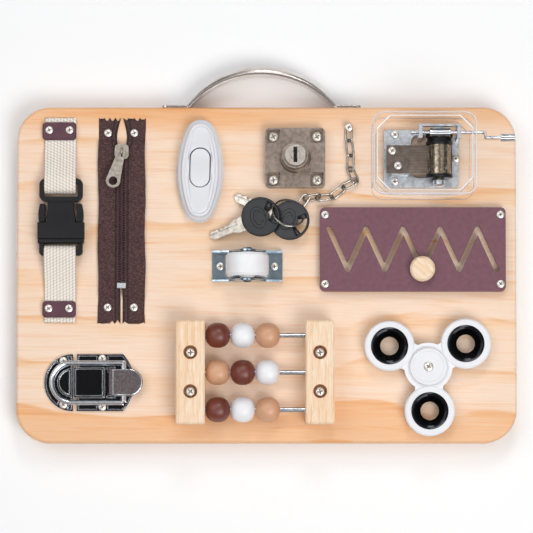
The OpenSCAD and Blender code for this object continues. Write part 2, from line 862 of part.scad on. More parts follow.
// Drawer lock: the plug turns in the cylinder and drives the bolt out of the upper side
plug_r = lock_cyl_r - 1.7;
bolt_w = 12;
bolt_t = 3;
bolt_l = 20;
lock_top = face + lock_cyl_h;
plug_low = face + bolt_t + 1;
pocket_w = 8; // side of a corner recess
pocket_rim = 1.1;

module lock_housing() {
  half = lock_w / 2;
  color("#8d8279")
    translate([lock_x, lock_y, 0])
      difference() {
        union() {
          translate([0, 0, face])
            slab(lock_w, lock_w, lock_h, 3);
          translate([0, 0, face + lock_h - 0.5])
            cylinder(h = 1.7, r1 = lock_cyl_r + 1, r2 = lock_cyl_r + 0.2);
          translate([0, 0, face + 1])
            cylinder(h = lock_cyl_h - 3, r = lock_cyl_r);
          translate([0, 0, lock_top - 2])
            cylinder(h = 1, r1 = lock_cyl_r, r2 = lock_cyl_r - 0.8);
        }
        translate([0, 0, plug_low - 0.5])
          cylinder(h = lock_cyl_h, r = plug_r + fit);
        translate([-bolt_w / 2 - skin, -bolt_l / 2 - 1, face - cut])
          cube([bolt_w + 2 * skin, half + bolt_l / 2 + 1 + cut, bolt_t + 0.5 + cut]);
        for (x = [-1, 1], y = [-1, 1])
          translate([x * (half - pocket_rim - pocket_w / 2), y * (half - pocket_rim - pocket_w / 2), lock_seat])
            slab(pocket_w, pocket_w, lock_h, 0.8);
        translate([-lock_x, -lock_y, 0])
          holes_at(lock_screw_places, lock_screw, lock_seat);
      }
}

module lock_plug() {
  keyway_w = 2.2;
  keyway_l = 9;
  tip = 0.9;
  color("#a59a90")
    translate([lock_x, lock_y, 0])
      difference() {
        union() {
          translate([0, 0, plug_low])
            cylinder(h = lock_top - 0.8 - plug_low, r = plug_r);
          translate([0, 0, lock_top - 0.8])
            cylinder(h = tip, r1 = plug_r, r2 = plug_r - tip);
          translate([0, 0, lock_top])
            cylinder(h = 0.5, r1 = 3, r2 = 2.6);
        }
        translate([-keyway_w / 2, -keyway_l / 2 + 0.4, lock_top - 12])
          cube([keyway_w, keyway_l, 14]);
      }
}

module lock_bolt() {
  color("#b5aca2")
    translate([lock_x - bolt_w / 2, lock_y + lock_w / 2 - 0.6 - bolt_l, face + 0.1])
      cube([bolt_w, bolt_l, bolt_t]);
}

// Chain: where each link lies, as [x, y, height above the board, heading, roll, pitch]
link_places = [
  [49.5, 85, 2.2, -90, 34, 0], [50.1, 76, 2.2, -83, -34, 0], [50.4, 67, 2.2, -93, 34, 0],
  [51.9, 59.8, 2.2, -66, -34, 0], [50, 54.4, 2.4, 207, 36, 0], [42.8, 49.4, 2.2, 219, -35, 0],
  [34.7, 46.2, 2.5, 185, 38, 0], [27.3, 46.1, 3.1, 192, -51, -2], [21.7, 43.5, 3.1, 234, -21, -7]];

module link() {
  ring = (link_w - link_wire) / 2;
  straight = link_l - link_w;
  for (s = [-1, 1]) {
    translate([s * ring, 0, 0])
      rotate([90, 0, 0])
        cylinder(h = straight, r = link_wire / 2, center = true, $fn = 16);
    translate([0, s * straight / 2, 0])
      rotate(s > 0 ? 0 : 180)
        rotate_extrude(angle = 180, $fn = 32)
          translate([ring, 0])
            circle(link_wire / 2, $fn = 16);
  }
}

module chain_links(first, last) {
  color("#a7a6a4")
    for (i = [first : last]) {
      p = link_places[i];
      translate([p[0], p[1], face + p[2]])
        rotate(p[3] - 90)
          rotate([p[5], 0, 0])
            rotate([0, p[4], 0])
              link();
    }
}

module chain_anchor_link() {
  chain_links(0, 0);
}

module key_chain() {
  chain_links(1, len(link_places) - 1);
}

// Split ring and keys. A key's own frame has its blade along +X
ring_place = [13.4, 36.5, 24.1];
ring_tilt = 33.8;
ring_uphill = 245;
front_place = [-3.2, 34.1, 25];
front_angle = [-0.3, 10.3, 200.5];
front_blade_l = 33.4;
rear_place = [14.2, 32, 23.9];
rear_angle = [0, 8.1, 155.7];
rear_blade_l = 36.9;
slot_in = 5; // inner and outer radius of a head's slot
slot_out = 10.4;
slot_half = 46; // half angle of the slot
tang_l = 5; // length of blade inside the head
bunch_tip_x = -34.5;
bunch_lift = 1.5;

// The ring and both keys, tipped up about the front blade's tip so that the last link fits under
module bunch() {
  translate([bunch_tip_x, 0, face])
    rotate([0, -bunch_lift, 0])
      translate([-bunch_tip_x, 0, -face])
        children();
}

module key_at(place, turn) {
  bunch()
    translate(place)
      rotate([0, 0, turn.z])
        rotate([0, turn.y, 0])
          rotate([turn.x, 0, 0])
            children();
}

module key_ring() {
  color("#b3b2b0")
    bunch()
      translate(ring_place)
        rotate([0, 0, ring_uphill])
          rotate([0, -ring_tilt, 0])
            for (s = [-1, 1])
              rotate(s * 4)
                rotate_extrude()
                  translate([ring_r, s * 0.31])
                    rounded(1, 0.62, 0.28);
}

module head_slot(grow) {
  reach = 20;
  intersection() {
    difference() {
      circle(slot_out + grow);
      circle(slot_in - grow);
    }
    polygon([[0, 0], [-reach * cos(slot_half), reach * sin(slot_half)], [-reach * 1.4, 0],
         [-reach * cos(slot_half), -reach * sin(slot_half)]]);
  }
}

module key_head() {
  rim = 1.2;
  dish = 0.3;
  dish_in = 2.6;
  color("#1c1d20")
    difference() {
      translate([0, 0, -key_head_t / 2]) {
        cylinder(h = 0.5, r1 = key_head_r - 0.5, r2 = key_head_r);
        translate([0, 0, 0.5])
          cylinder(h = key_head_t - 1, r = key_head_r);
        translate([0, 0, key_head_t - 0.5])
          cylinder(h = 0.5, r1 = key_head_r, r2 = key_head_r - 0.5);
      }
      for (s = [0, 1])
        mirror([0, 0, s])
          translate([0, 0, key_head_t / 2 - dish])
            rotate_extrude()
              translate([dish_in, 0])
                square([key_head_r - rim - dish_in, 2 * dish]);
      translate([0, 0, -key_head_t])
        linear_extrude(2 * key_head_t)
          head_slot(0);
      translate([key_head_r - tang_l, -4.4, -key_blade_t / 2 - 0.02])
        cube([tang_l + cut, 8.8, key_blade_t + 0.04]);
    }
}

// A blade: wide shoulders, then the narrow part with its cuts and a pointed tip
module key_blade(length) {
  shoulder_end = 18;
  half = 2.8;
  color("#c3bdb4")
    difference() {
      translate([0, 0, -key_blade_t / 2])
        linear_extrude(key_blade_t)
          difference() {
            union() {
              translate([key_head_r - tang_l + 0.05, -4.35])
                square([tang_l + 0.4, 8.7]);
              polygon([[key_head_r + 0.15, -4.5], [shoulder_end - 2, -4.2], [shoulder_end + 1, -half],
                   [length - 2.4, -half], [length, -0.6], [length, 0.6], [length - 2.4, half],
                   [shoulder_end + 1, half], [shoulder_end - 2, 4.2], [key_head_r + 0.15, 4.5]]);
            }
            for (i = [0 : 3]) {
              x = shoulder_end + 3 + i * (length - shoulder_end - 6) / 3.4;
              polygon([[x - 1.5, -half - 0.1], [x - 0.4, -half + 0.7 + 0.35 * (i % 3)],
                   [x + 0.5, -half + 0.7 + 0.35 * (i % 3)], [x + 1.5, -half - 0.1]]);
            }
          }
      for (s = [0, 1])
        mirror([0, 0, s])
          translate([key_head_r + 3, s * 1.2 - 0.9, key_blade_t / 2 - 0.5])
            cube([length, 0.8, cut]);
    }
}

module key_front_head() { key_at(front_place, front_angle) key_head(); }
module key_front_blade() { key_at(front_place, front_angle) key_blade(front_blade_l); }
module key_rear_head() { key_at(rear_place, rear_angle) key_head(); }
module key_rear_blade() { key_at(rear_place, rear_angle) key_blade(rear_blade_l); }

// Roller: a folded bracket whose two flanges arch round the wheel's pin
pin_z = face + wheel_pin_h;
flange_in = bracket_w / 2 - bracket_t;
pin_r = wheel_pin_d / 2;

module flange_plan() {
  low = 4.6;
  ear_r = pin_r + 3.4;
  polygon([[-bracket_l / 2, 0], [bracket_l / 2, 0], [bracket_l / 2, low], [11, low + 1.6],
       [ear_r * 0.9, wheel_pin_h + 2.4], [-ear_r * 0.9, wheel_pin_h + 2.4], [-11, low + 1.6],
       [-bracket_l / 2, low]]);
  translate([0, wheel_pin_h])
    circle(ear_r);
}

module roller_bracket() {
  color("#8fa3b3")
    difference() {
      translate([roller_x, roller_y, face]) {
        linear_extrude(bracket_t)
          square([bracket_l, bracket_w], center = true);
        for (y = [-bracket_w / 2, flange_in])
          translate([0, y + bracket_t, 0])
            rotate([90, 0, 0])
              linear_extrude(bracket_t)
                flange_plan();
      }
      translate([roller_x, roller_y + bracket_w / 2 + cut, pin_z])
        rotate([90, 0, 0])
          cylinder(h = bracket_w + 2 * cut, r = pin_r + fit);
      holes_at(roller_screw_places, small_screw, roller_seat);
    }
}

module roller_wheel() {
  crown = 1;
  edge = wheel_d / 2 - crown;
  color("#f2f2f4")
    translate([roller_x, roller_y, pin_z])
      rotate([90, 0, 0])
        difference() {
          union() {
            translate([0, 0, -wheel_w / 2])
              cylinder(h = 1.6, r1 = edge, r2 = wheel_d / 2);
            translate([0, 0, -wheel_w / 2 + 1.6])
              cylinder(h = wheel_w - 3.2, r = wheel_d / 2);
            translate([0, 0, wheel_w / 2 - 1.6])
              cylinder(h = 1.6, r1 = wheel_d / 2, r2 = edge);
            cylinder(h = 2 * flange_in - 2 * skin, r = pin_r + 2, center = true);
          }
          cylinder(h = bracket_w + 2 * cut, r = pin_r + fit, center = true);
          for (s = [-1, 1])
            translate([0, 0, s * (wheel_w / 2)])
              rotate_extrude()
                translate([pin_r + 3, -1.4])
                  square([edge - pin_r - 5.4, 2.8]);
        }
}

module roller_pin() {
  head_t = 1.1;
  color("#a9b4bd")
    translate([roller_x, roller_y, pin_z])
      rotate([90, 0, 0]) {
        cylinder(h = bracket_w, r = pin_r, center = true);
        for (s = [0, 1])
          mirror([0, 0, s])
            translate([0, 0, bracket_w / 2])
              cylinder(h = head_t, r1 = pin_r + 1.3, r2 = pin_r + 0.5);
      }
}

// Music box: the movement stands in a clear case that is open underneath
case_r = 7;
floor_t = 1.6;
floor_z = face + floor_t;
plate_t = 2.2; // thickness of the die-cast frame's plate
frame_top_z = floor_z + plate_t;
barrel_x = music_x + 9.4;
barrel_z = frame_top_z + 8.6;
barrel_low_y = music_y - 12.6;
cap_t = 2.2; // thickness of the barrel's lower flange
gear_teeth_l = 4; // length of the toothed part, under the crank's worm
gear_l = 8.2;
gear_r = barrel_r + 1.5;
gear_y = barrel_low_y + cap_t + barrel_l;
worm_r = 2.6;
crank_y = gear_y + gear_l - gear_teeth_l / 2;
crank_z = barrel_z + gear_r + worm_r + 0.2;
crank_hole = 0.8; // clearance of the shaft in the case's wall
post_t = 2.2;
post_xs = [music_x - 2.2, music_x + 20.7];
comb_t = 1.2;
comb_z = barrel_z - comb_t / 2;
comb_tip_x = barrel_x - barrel_r - 0.45;
comb_l = 24.5;
comb_low_y = barrel_low_y + cap_t + 0.3;
comb_w = barrel_l - 0.6;
comb_screw_places = [[barrel_x - 28.2, comb_low_y + 13.6], [barrel_x - 24.8, comb_low_y + 4.6]];
frame_screw_places = [[music_x - 16.9, music_y + 14.2], [music_x - 16.9, music_y - 14], [music_x + 19.7, music_y - 0.1]];

module music_case() {
  inner = case_wall;
  dome = 2.4;
  color([0.85, 0.88, 0.92, 0.35])
    translate([music_x, music_y, face])
      difference() {
        union() {
          slab(case_l, case_w, case_h - dome, case_r);
          translate([0, 0, case_h - dome])
            slab(case_l - 1.6, case_w - 1.6, dome / 2, case_r - 0.8);
          translate([0, 0, case_h - dome / 2])
            slab(case_l - 4.4, case_w - 4.4, dome / 2, case_r - 2);
        }
        translate([0, 0, floor_t])
          slab(case_l - 2 * inner, case_w - 2 * inner, case_h - floor_t - inner - 0.4, case_r - inner);
        translate([case_l / 2 - 2 * inner, crank_y - music_y, crank_z - face])
          rotate([0, 90, 0])
            cylinder(h = 4 * inner, r = crank_d / 2 + crank_hole);
        translate([-music_x, -music_y, -face])
          holes_at(frame_screw_places, small_screw, floor_z);
      }
}

module music_frame() {
  half_l = 22.4;
  half_w = frame_half_w;
  color("#aeb6bd")
    difference() {
      union() {
        translate([music_x - 1, frame_y, floor_z])
          difference() {
            slab(2 * half_l, 2 * half_w, plate_t, 2.2);
            translate([0, 0, -cut]) {
              translate([half_l - 12.4, 1.4, 0])
                slab(17, 2 * half_w - 9, plate_t + 2 * cut, 2);
              translate([half_l - 20, 1.4, 0])
                slab(17, 2 * half_w - 9, plate_t + 2 * cut, 4);
              translate([half_l - 8, half_w, 0])
                slab(24, 8, plate_t + 2 * cut, 1);
            }
          }
        translate([comb_screw_places[1].x - 3.6, comb_low_y - 1, floor_z])
          cube([10, comb_w + 2, comb_z - floor_z]);
        bearing_blocks();
        for (x = post_xs)
          translate([x - post_t / 2, crank_y - 3.4, floor_z])
            cube([post_t, 3.4 + post_back, crank_z + 2.6 - floor_z]);
        translate([post_xs[0], crank_y + post_back - 1.2, crank_z - 4])
          cube([post_xs[1] - post_xs[0], 1.2, 5.6]);
      }
      translate([barrel_x, music_y, barrel_z])
        rotate([90, 0, 0])
          cylinder(h = case_w, r = 1.6 + fit, center = true);
      translate([music_x, crank_y, crank_z])
        rotate([0, 90, 0])
          cylinder(h = case_l, r = crank_d / 2 + fit, center = true);
      for (p = comb_screw_places)
        translate([p.x, p.y, comb_z - 6])
          cylinder(h = 10, r = small_screw[2] + fit);
      for (p = frame_screw_places)
        translate([p.x, p.y, floor_z - cut])
          cylinder(h = plate_t + 2 * cut, r = small_screw[2] + fit);
      translate([barrel_x, gear_y + gear_l + 0.3, barrel_z])
        rotate([90, 0, 0])
          cylinder(h = gear_l + 0.6, r = gear_r + 0.4);
    }
}

// The barrel shaft's bearings: on the frame's lower rim and against the bar between the posts
bearing_t = 2.6;
frame_half_w = 17.3;
frame_y = music_y - 0.4;
post_back = gear_teeth_l / 2 + skin + bearing_t; // crank's axis to the bar's far side
bearing_ys = [frame_y - frame_half_w + 0.8, crank_y + post_back - bearing_t];
module bearing_blocks() {
  for (y = bearing_ys) {
    translate([barrel_x, y + bearing_t, barrel_z])
      rotate([90, 0, 0])
        cylinder(h = bearing_t, r = 3.6);
    translate([barrel_x - 3.6, y, floor_z])
      cube([7.2, bearing_t, (y > music_y ? crank_z - 3.8 : barrel_z) - floor_z]);
  }
}

module music_comb() {
  slit = 0.25;
  pitch = comb_w / comb_teeth;
  tooth_l = 11;
  color("#6e665f")
    difference() {
      translate([comb_tip_x - comb_l, comb_low_y, comb_z])
        cube([comb_l, comb_w, comb_t]);
      for (i = [1 : comb_teeth - 1])
        translate([comb_tip_x - tooth_l, comb_low_y + i * pitch - slit / 2, comb_z - cut])
          cube([tooth_l + cut, slit, comb_t + 2 * cut]);
      for (p = comb_screw_places)
        translate([p.x, p.y, comb_z - cut])
          cylinder(h = comb_t + 2 * cut, r = small_screw[2] + fit);
    }
}

module music_barrel() {
  pin_l = 0.3;
  pin_w = 0.35;
  rows = comb_teeth;
  color("#b3a590")
    translate([barrel_x, barrel_low_y, barrel_z])
      rotate([-90, 0, 0]) {
        cylinder(h = cap_t, r = barrel_r + 1.2);
        translate([0, 0, cap_t])
          cylinder(h = barrel_l, r = barrel_r);
        translate([0, 0, bearing_ys[0] - 0.5 - barrel_low_y])
          cylinder(h = bearing_ys[1] - bearing_ys[0] + bearing_t + 1, r = 1.6);
        for (i = [0 : rows - 1])
          for (k = [0 : 3])
            rotate(i * 47 + k * 97 + 30)
              translate([barrel_r - 0.4, -pin_w / 2, cap_t + 0.5 + (i + 0.5) * comb_w / rows - pin_w / 2])
                cube([pin_l + 0.4, pin_w, pin_w]);
      }
}

module barrel_gear() {
  root_r = gear_r - 0.9;
  color("#1f1f22")
    translate([barrel_x, gear_y, barrel_z])
      rotate([-90, 0, 0])
        difference() {
          union() {
            cylinder(h = 1.6, r = gear_r);
            cylinder(h = gear_l, r = root_r);
            translate([0, 0, gear_l - gear_teeth_l])
              for (i = [0 : gear_teeth - 1])
                rotate(i * 360 / gear_teeth)
                  linear_extrude(gear_teeth_l)
                    polygon([[root_r - 0.3, -0.75], [gear_r, -0.4], [gear_r, 0.4], [root_r - 0.3, 0.75]]);
          }
          translate([0, 0, -cut])
            cylinder(h = gear_l + 2 * cut, r = 1.6 + 0.01);
        }
}

// Crank: the shaft carries a grooved worm sleeve and cranks up to its grip outside the case
crank_turn = 21.5; // how far the resting arm leans inward
grip_l = 8.2;
grip_r = 2.3;
elbow_x = music_x + 36;
crank_end_x = music_x + 53;
module crank_axis() {
  translate([0, crank_y, crank_z])
    rotate([crank_turn, 0, 0])
      children();
}

module music_crank() {
  shaft_l = elbow_x - (post_xs[0] - 6);
  worm_l = 12;
  color("#b6b7ba")
    crank_axis() {
      translate([post_xs[0] - 6, 0, 0])
        rotate([0, 90, 0])
          cylinder(h = shaft_l, r = crank_d / 2, $fn = 24);
      translate([barrel_x - worm_l / 2, 0, 0])
        rotate([0, 90, 0])
          difference() {
            cylinder(h = worm_l, r = worm_r);
            for (i = [1 : 7])
              translate([0, 0, i * worm_l / 8 - 0.4])
                rotate_extrude()
                  translate([worm_r - 0.6, 0])
                    square([1, 0.8]);
          }
      translate([elbow_x, 0, 0])
        sphere(crank_d / 2, $fn = 24);
      translate([elbow_x, 0, 0])
        cylinder(h = crank_arm, r = crank_d / 2, $fn = 24);
      translate([elbow_x, 0, crank_arm]) {
        sphere(crank_d / 2, $fn = 24);
        rotate([0, 90, 0])
          cylinder(h = crank_end_x - elbow_x - 0.5, r = crank_d / 2, $fn = 24);
      }
    }
}

module crank_grip() {
  color("#c8c8cc")
    crank_axis()
      translate([crank_end_x - grip_l, 0, crank_arm])
        rotate([0, 90, 0])
          difference() {
            cylinder(h = grip_l, r = grip_r, $fn = 32);
            translate([0, 0, -cut])
              cylinder(h = grip_l + 2 * cut, r = crank_d / 2 + fit, $fn = 24);
          }
}

// Maze: the knob's stem runs in the zigzag and a flange behind keeps it in
slot_margin = 5.5; // least plate past either end of the zigzag
strokes = floor((maze_l - 2 * slot_margin) / slot_step);
slot_x0 = maze_x - strokes * slot_step / 2;
slot_low = maze_y - slot_rise / 2 + 0.15;
knob_stop = 5; // corner of the zigzag where the knob rests
flange_r = 3.4;
flange_t = 1.6;
relief_w = 2 * flange_r + 1.2;
relief_t = flange_t + 0.8; // depth of the flange's channel
function maze_corner(i) = [slot_x0 + i * slot_step, slot_low + (i % 2 == 0 ? slot_rise : 0)];
zigzag = [for (i = [0 : strokes]) maze_corner(i)];
knob_place = maze_corner(knob_stop);
knob_path = maze_corner(knob_stop + 1) - knob_place;

// Channel in the board's front, under the stroke that the knob runs in
module maze_relief() {
  translate([0, 0, face - 0.5])
    linear_extrude(0.5 + cut)
      stroke([knob_place, knob_place + knob_path], relief_w);
}

module maze_plate() {
  color("#7d5361")
    difference() {
      translate([maze_x, maze_y, face])
        slab(maze_l, maze_w, maze_t, 3);
      translate([0, 0, face - cut])
        linear_extrude(maze_t + 2 * cut)
          stroke(zigzag, slot_w);
      translate([0, 0, face - cut])
        linear_extrude(relief_t - 0.5 + cut)
          stroke(zigzag, relief_w);
      holes_at(maze_screw_places, small_screw, maze_seat);
    }
}

module maze_knob() {
  stem_r = slot_w / 2 - 0.2;
  top_t = 6.5;
  under = face + maze_t + skin;
  edge = 1.2;
  color("#ecd6ac")
    translate([knob_place.x, knob_place.y, 0]) {
      translate([0, 0, face - 0.25])
        cylinder(h = flange_t, r = flange_r);
      translate([0, 0, face])
        cylinder(h = maze_t + skin + 0.5, r = stem_r);
      translate([0, 0, under])
        cylinder(h = edge, r1 = knob_d / 2 - edge, r2 = knob_d / 2);
      translate([0, 0, under + edge])
        cylinder(h = top_t - 2 * edge, r = knob_d / 2);
      translate([0, 0, under + top_t - edge])
        cylinder(h = edge, r1 = knob_d / 2, r2 = knob_d / 2 - edge);
    }
}

// Abacus: three rods between two posts, three beads on each
rod_z = face + bead_d / 2 + 1.4;
rod_ys = [for (i = [1, 0, -1]) abacus_y + 0.6 + i * rod_pitch];
post_x = [abacus_x - post_span / 2, abacus_x + post_span / 2];
rod_seat = 6; // length of rod held in each post
bead_x0 = post_x[0] + post_w / 2 + bead_d / 2 + 0.15;
bead_pitch = bead_d + 0.1;
bead_run = post_span - post_w - 3 * bead_d - 0.7;

module abacus_posts() {
  color("#f1d9b3")
    difference() {
      for (x = post_x)
        translate([x, abacus_y + 0.4, face]) {
          slab(post_w, post_l, post_h - 0.6, 1.4);
          slab(post_w - 1.2, post_l - 1.2, post_h, 1);
        }
      for (y = rod_ys)
        translate([post_x[0] + post_w / 2 - rod_seat, y, rod_z])
          rotate([0, 90, 0])
            cylinder(h = post_span - post_w + 2 * rod_seat, r = rod_d / 2 + 0.01);
      for (p = post_screw_places)
        translate([p.x, p.y, post_seat])
          cylinder(h = post_bore_depth + cut, r = 4.1);
      holes_at(post_screw_places, large_screw, post_seat);
    }
}

module abacus_rods() {
  color("#c2c6cb")
    for (y = rod_ys)
      translate([post_x[0] + post_w / 2 - rod_seat, y, rod_z])
        rotate([0, 90, 0])
          cylinder(h = post_span - post_w + 2 * rod_seat, r = rod_d / 2);
}

module bead(row, place, paint) {
  flat = bead_d / 2 - 0.45;
  color(paint)
    translate([bead_x0 + place * bead_pitch, rod_ys[row], rod_z])
      rotate([0, 90, 0])
        difference() {
          intersection() {
            sphere(bead_d / 2);
            cylinder(h = 2 * flat, r = bead_d, center = true);
          }
          cylinder(h = bead_d + cut, r = rod_d / 2 + bead_gap, center = true);
        }
}

brown = "#6b3530";
tan_paint = "#c48f68";
white = "#f0f0f2";
module bead_top_left() { bead(0, 0, brown); }
module bead_top_middle() { bead(0, 1, white); }
module bead_top_right() { bead(0, 2, tan_paint); }
module bead_middle_left() { bead(1, 0, tan_paint); }
module bead_middle_middle() { bead(1, 1, brown); }
module bead_middle_right() { bead(1, 2, white); }
module bead_low_left() { bead(2, 0, brown); }
module bead_low_middle() { bead(2, 1, white); }
module bead_low_right() { bead(2, 2, tan_paint); }

// Latch: a wire bail on the lever goes round the catch's lug
chrome = "#cfd3d8";
latch_split_x = -115.7; // right end of the catch plate
latch_gap = 2.1;
latch_half = latch_w / 2;
lug_right_x = latch_split_x - 0.9;
lug_r = 8.4;
latch_rim = 1.1; // raised rim, and how far the inside is let down
latch_dip = 0.5;
screw_ring_r = 3.4; // raised ring under each screw
lug_h = 6.5;
box_left_x = latch_split_x + 0.5;
box_w = 18.2;
box_right_x = lever_x - 3.9;
box_h = 6;
bail_z = face + latch_t + bail_d / 2 + 0.9; // height of the wire and of both pivots
bail_r = bail_d / 2;
bail_half = 11.9; // from the latch's middle to the middle of a leg's wire
bail_left_x = latch_left_x + 4.6;
pin_x = lever_x + lever_throw;
lever_w = 15.4;
lever_t = 1.4;
ear_half = lever_w / 2 + 0.3;
lever_pin_r = 1.2;

module latch_plan(inset) {
  end_x = latch_left_x + latch_half;
  end_r = latch_half - inset;
  nose_r = 25;
  translate([end_x, 0])
    circle(end_r, $fn = 96);
  translate([end_x, -end_r])
    square([latch_right_x - 10 - end_x, 2 * end_r]);
  intersection() {
    translate([latch_right_x - nose_r, 0])
      circle(nose_r - inset, $fn = 96);
    translate([end_x, -end_r])
      square([latch_w + 2 * nose_r, 2 * end_r]);
  }
}

module plate_part(left, right, inset) {
  intersection() {
    latch_plan(inset);
    translate([left + inset, -latch_half])
      square([right - left - 2 * inset, latch_w]);
  }
}

// A plate with its rim and the rings under its screws left standing
module latch_sheet(left, right, places) {
  difference() {
    linear_extrude(latch_t)
      plate_part(left, right, 0);
    translate([0, 0, latch_t - latch_dip])
      linear_extrude(latch_t)
        difference() {
          plate_part(left, right, latch_rim);
          for (p = places)
            translate([p.x, p.y - latch_y])
              circle(screw_ring_r);
        }
  }
}

// The flat-sided disc that the bail hooks round, smaller by an inset
module lug_plan(inset) {
  intersection() {
    translate([lug_right_x, 0])
      circle(lug_r - inset);
    translate([lug_right_x - 2 * lug_r - inset, -lug_r])
      square([2 * lug_r, 2 * lug_r]);
  }
}

module screw_dish(places) {
  for (p = places)
    translate([p.x, p.y, face - cut])
      cylinder(h = 10, r = small_screw[2] + fit);
}

module latch_catch_plate() {
  color(chrome)
    difference() {
      translate([0, latch_y, face]) {
        latch_sheet(latch_left_x, latch_split_x, catch_screw_places);
        linear_extrude(lug_h)
          lug_plan(0);
      }
      translate([0, latch_y, face + lug_h - latch_dip])
        linear_extrude(1)
          lug_plan(latch_rim);
      screw_dish(catch_screw_places);
    }
}

module latch_base_plate() {
  ear_l = 5;
  ear_t = 1.2;
  color(chrome)
    difference() {
      translate([0, latch_y, face]) {
        latch_sheet(latch_split_x + latch_gap, latch_right_x, base_screw_places);
        translate([(box_left_x + box_right_x) / 2, 0, 0])
          slab(box_right_x - box_left_x, box_w, box_h, 1);
        for (y = [-ear_half - ear_t, ear_half])
          translate([lever_x - ear_l / 2, y, 0])
            cube([ear_l, ear_t, bail_z - face + 2]);
      }
      translate([(box_left_x + box_right_x) / 2, latch_y, face + box_h - latch_dip])
        slab(box_right_x - box_left_x - 2 * latch_rim, box_w - 2 * latch_rim, 1, 0.6);
      translate([lever_x, latch_y, bail_z])
        rotate([90, 0, 0])
          cylinder(h = latch_w, r = lever_pin_r + fit, center = true);
      screw_dish(base_screw_places);
    }
  color(chrome)
    translate([lever_x, latch_y, bail_z])
      rotate([90, 0, 0])
        cylinder(h = 2 * (ear_half + ear_t) + 0.2, r = lever_pin_r, center = true);
}

// The lever from above, smaller by an inset
module lever_plan(inset) {
  end_r = 8.1;
  end_x = pin_x + 3.5;
  translate([end_x, 0])
    circle(end_r - inset, $fn = 64);
  translate([lever_x - 0.8 + inset, inset - lever_w / 2])
    square([end_x - lever_x - inset, lever_w - 2 * inset]);
}

module latch_lever() {
  roof_z = bail_z + bail_r + 0.4;
  ear_r = 2.1;
  color(chrome)
    translate([0, latch_y, 0])
      difference() {
        union() {
          translate([0, 0, roof_z])
            linear_extrude(lever_t)
              lever_plan(0);
          for (y = [-1, 1])
            translate([0, y * (lever_w / 2 - lever_t / 2) + lever_t / 2, 0])
              rotate([90, 0, 0])
                linear_extrude(lever_t) {
                  for (x = [lever_x, pin_x])
                    translate([x, bail_z])
                      circle(ear_r);
                  translate([lever_x, bail_z - ear_r])
                    square([lever_throw, roof_z - bail_z + ear_r + 0.2]);
                }
        }
        translate([0, 0, roof_z + lever_t - 0.35])
          linear_extrude(1)
            lever_plan(1);
        for (x = [lever_x, pin_x])
          translate([x, 0, bail_z])
            rotate([90, 0, 0])
              cylinder(h = latch_w, r = (x == pin_x ? bail_r : lever_pin_r) + fit, center = true);
      }
}

module latch_bail() {
  corner = bail_half;
  leg_l = pin_x - (bail_left_x + corner);
  color(chrome)
    translate([0, latch_y, bail_z]) {
      translate([bail_left_x + corner, 0, 0])
        rotate(90)
          rotate_extrude(angle = 180)
            translate([bail_half, 0])
              circle(bail_r);
      for (y = [-1, 1]) {
        translate([bail_left_x + corner, y * bail_half, 0])
          rotate([0, 90, 0])
            cylinder(h = leg_l, r = bail_r);
        translate([pin_x, y * bail_half, 0])
          sphere(bail_r);
      }
      translate([pin_x, 0, 0])
        rotate([90, 0, 0])
          cylinder(h = 2 * bail_half, r = bail_r, center = true);
    }
}

// Spinner: three weighted lobes round a bearing on a hub
spinner_z = face + 3;
ring_out = 11.1;
ring_in = 5.5;
hub_r = 4;

module spinner_plan() {
  web = 8.4;
  circle(lobe_r - 0.6);
  for (a = [0, 120, 240])
    rotate(a) {
      translate([lobe_c, 0])
        circle(lobe_r);
      translate([0, -web])
        square([lobe_c, 2 * web]);
    }
}

module spinner_at(z) {
  translate([spinner_x, spinner_y, z])
    rotate(spinner_turn)
      children();
}

module spinner_body() {
  edge = 0.8;
  color("#f1f1f3")
    spinner_at(spinner_z)
      difference() {
        union() {
          translate([0, 0, edge])
            linear_extrude(spinner_t - 2 * edge)
              spinner_plan();
          for (a = [0, 120, 240])
            rotate(a)
              translate([lobe_c, 0, 0]) {
                cylinder(h = edge, r1 = lobe_r - edge, r2 = lobe_r - joint_lap);
                translate([0, 0, spinner_t - edge])
                  cylinder(h = edge, r1 = lobe_r - joint_lap, r2 = lobe_r - edge);
              }
          cylinder(h = spinner_t, r = bearing_d / 2 + 1);
        }
        translate([0, 0, -cut])
          cylinder(h = spinner_t + 2 * cut, r = bearing_d / 2 + 0.01);
        for (a = [0, 120, 240])
          rotate(a)
            translate([lobe_c, 0, -cut])
              cylinder(h = spinner_t + 2 * cut, r = ring_out + 0.01);
      }
}

// Weight rings: funnel-shaped, deeper toward the hole
module spinner_rings() {
  color("#1b1b1e")
    spinner_at(spinner_z)
      for (a = [0, 120, 240])
        rotate(a)
          translate([lobe_c, 0, 0])
            rotate_extrude()
              polygon([[ring_in, 1.6], [ring_in + 1.4, 0.6], [ring_out - 1.4, 0], [ring_out, 0.3],
                   [ring_out, spinner_t + 0.2], [ring_out - 1, spinner_t + 0.5],
                   [ring_out - 2.2, spinner_t], [ring_in + 1.4, spinner_t - 1.6],
                   [ring_in, spinner_t - 2.6]]);
}

module spinner_bearing() {
  color("#b9bcc0")
    spinner_at(spinner_z)
      difference() {
        cylinder(h = spinner_t, r = bearing_d / 2);
        translate([0, 0, -cut])
          cylinder(h = spinner_t + 2 * cut, r = hub_r + fit);
      }
}

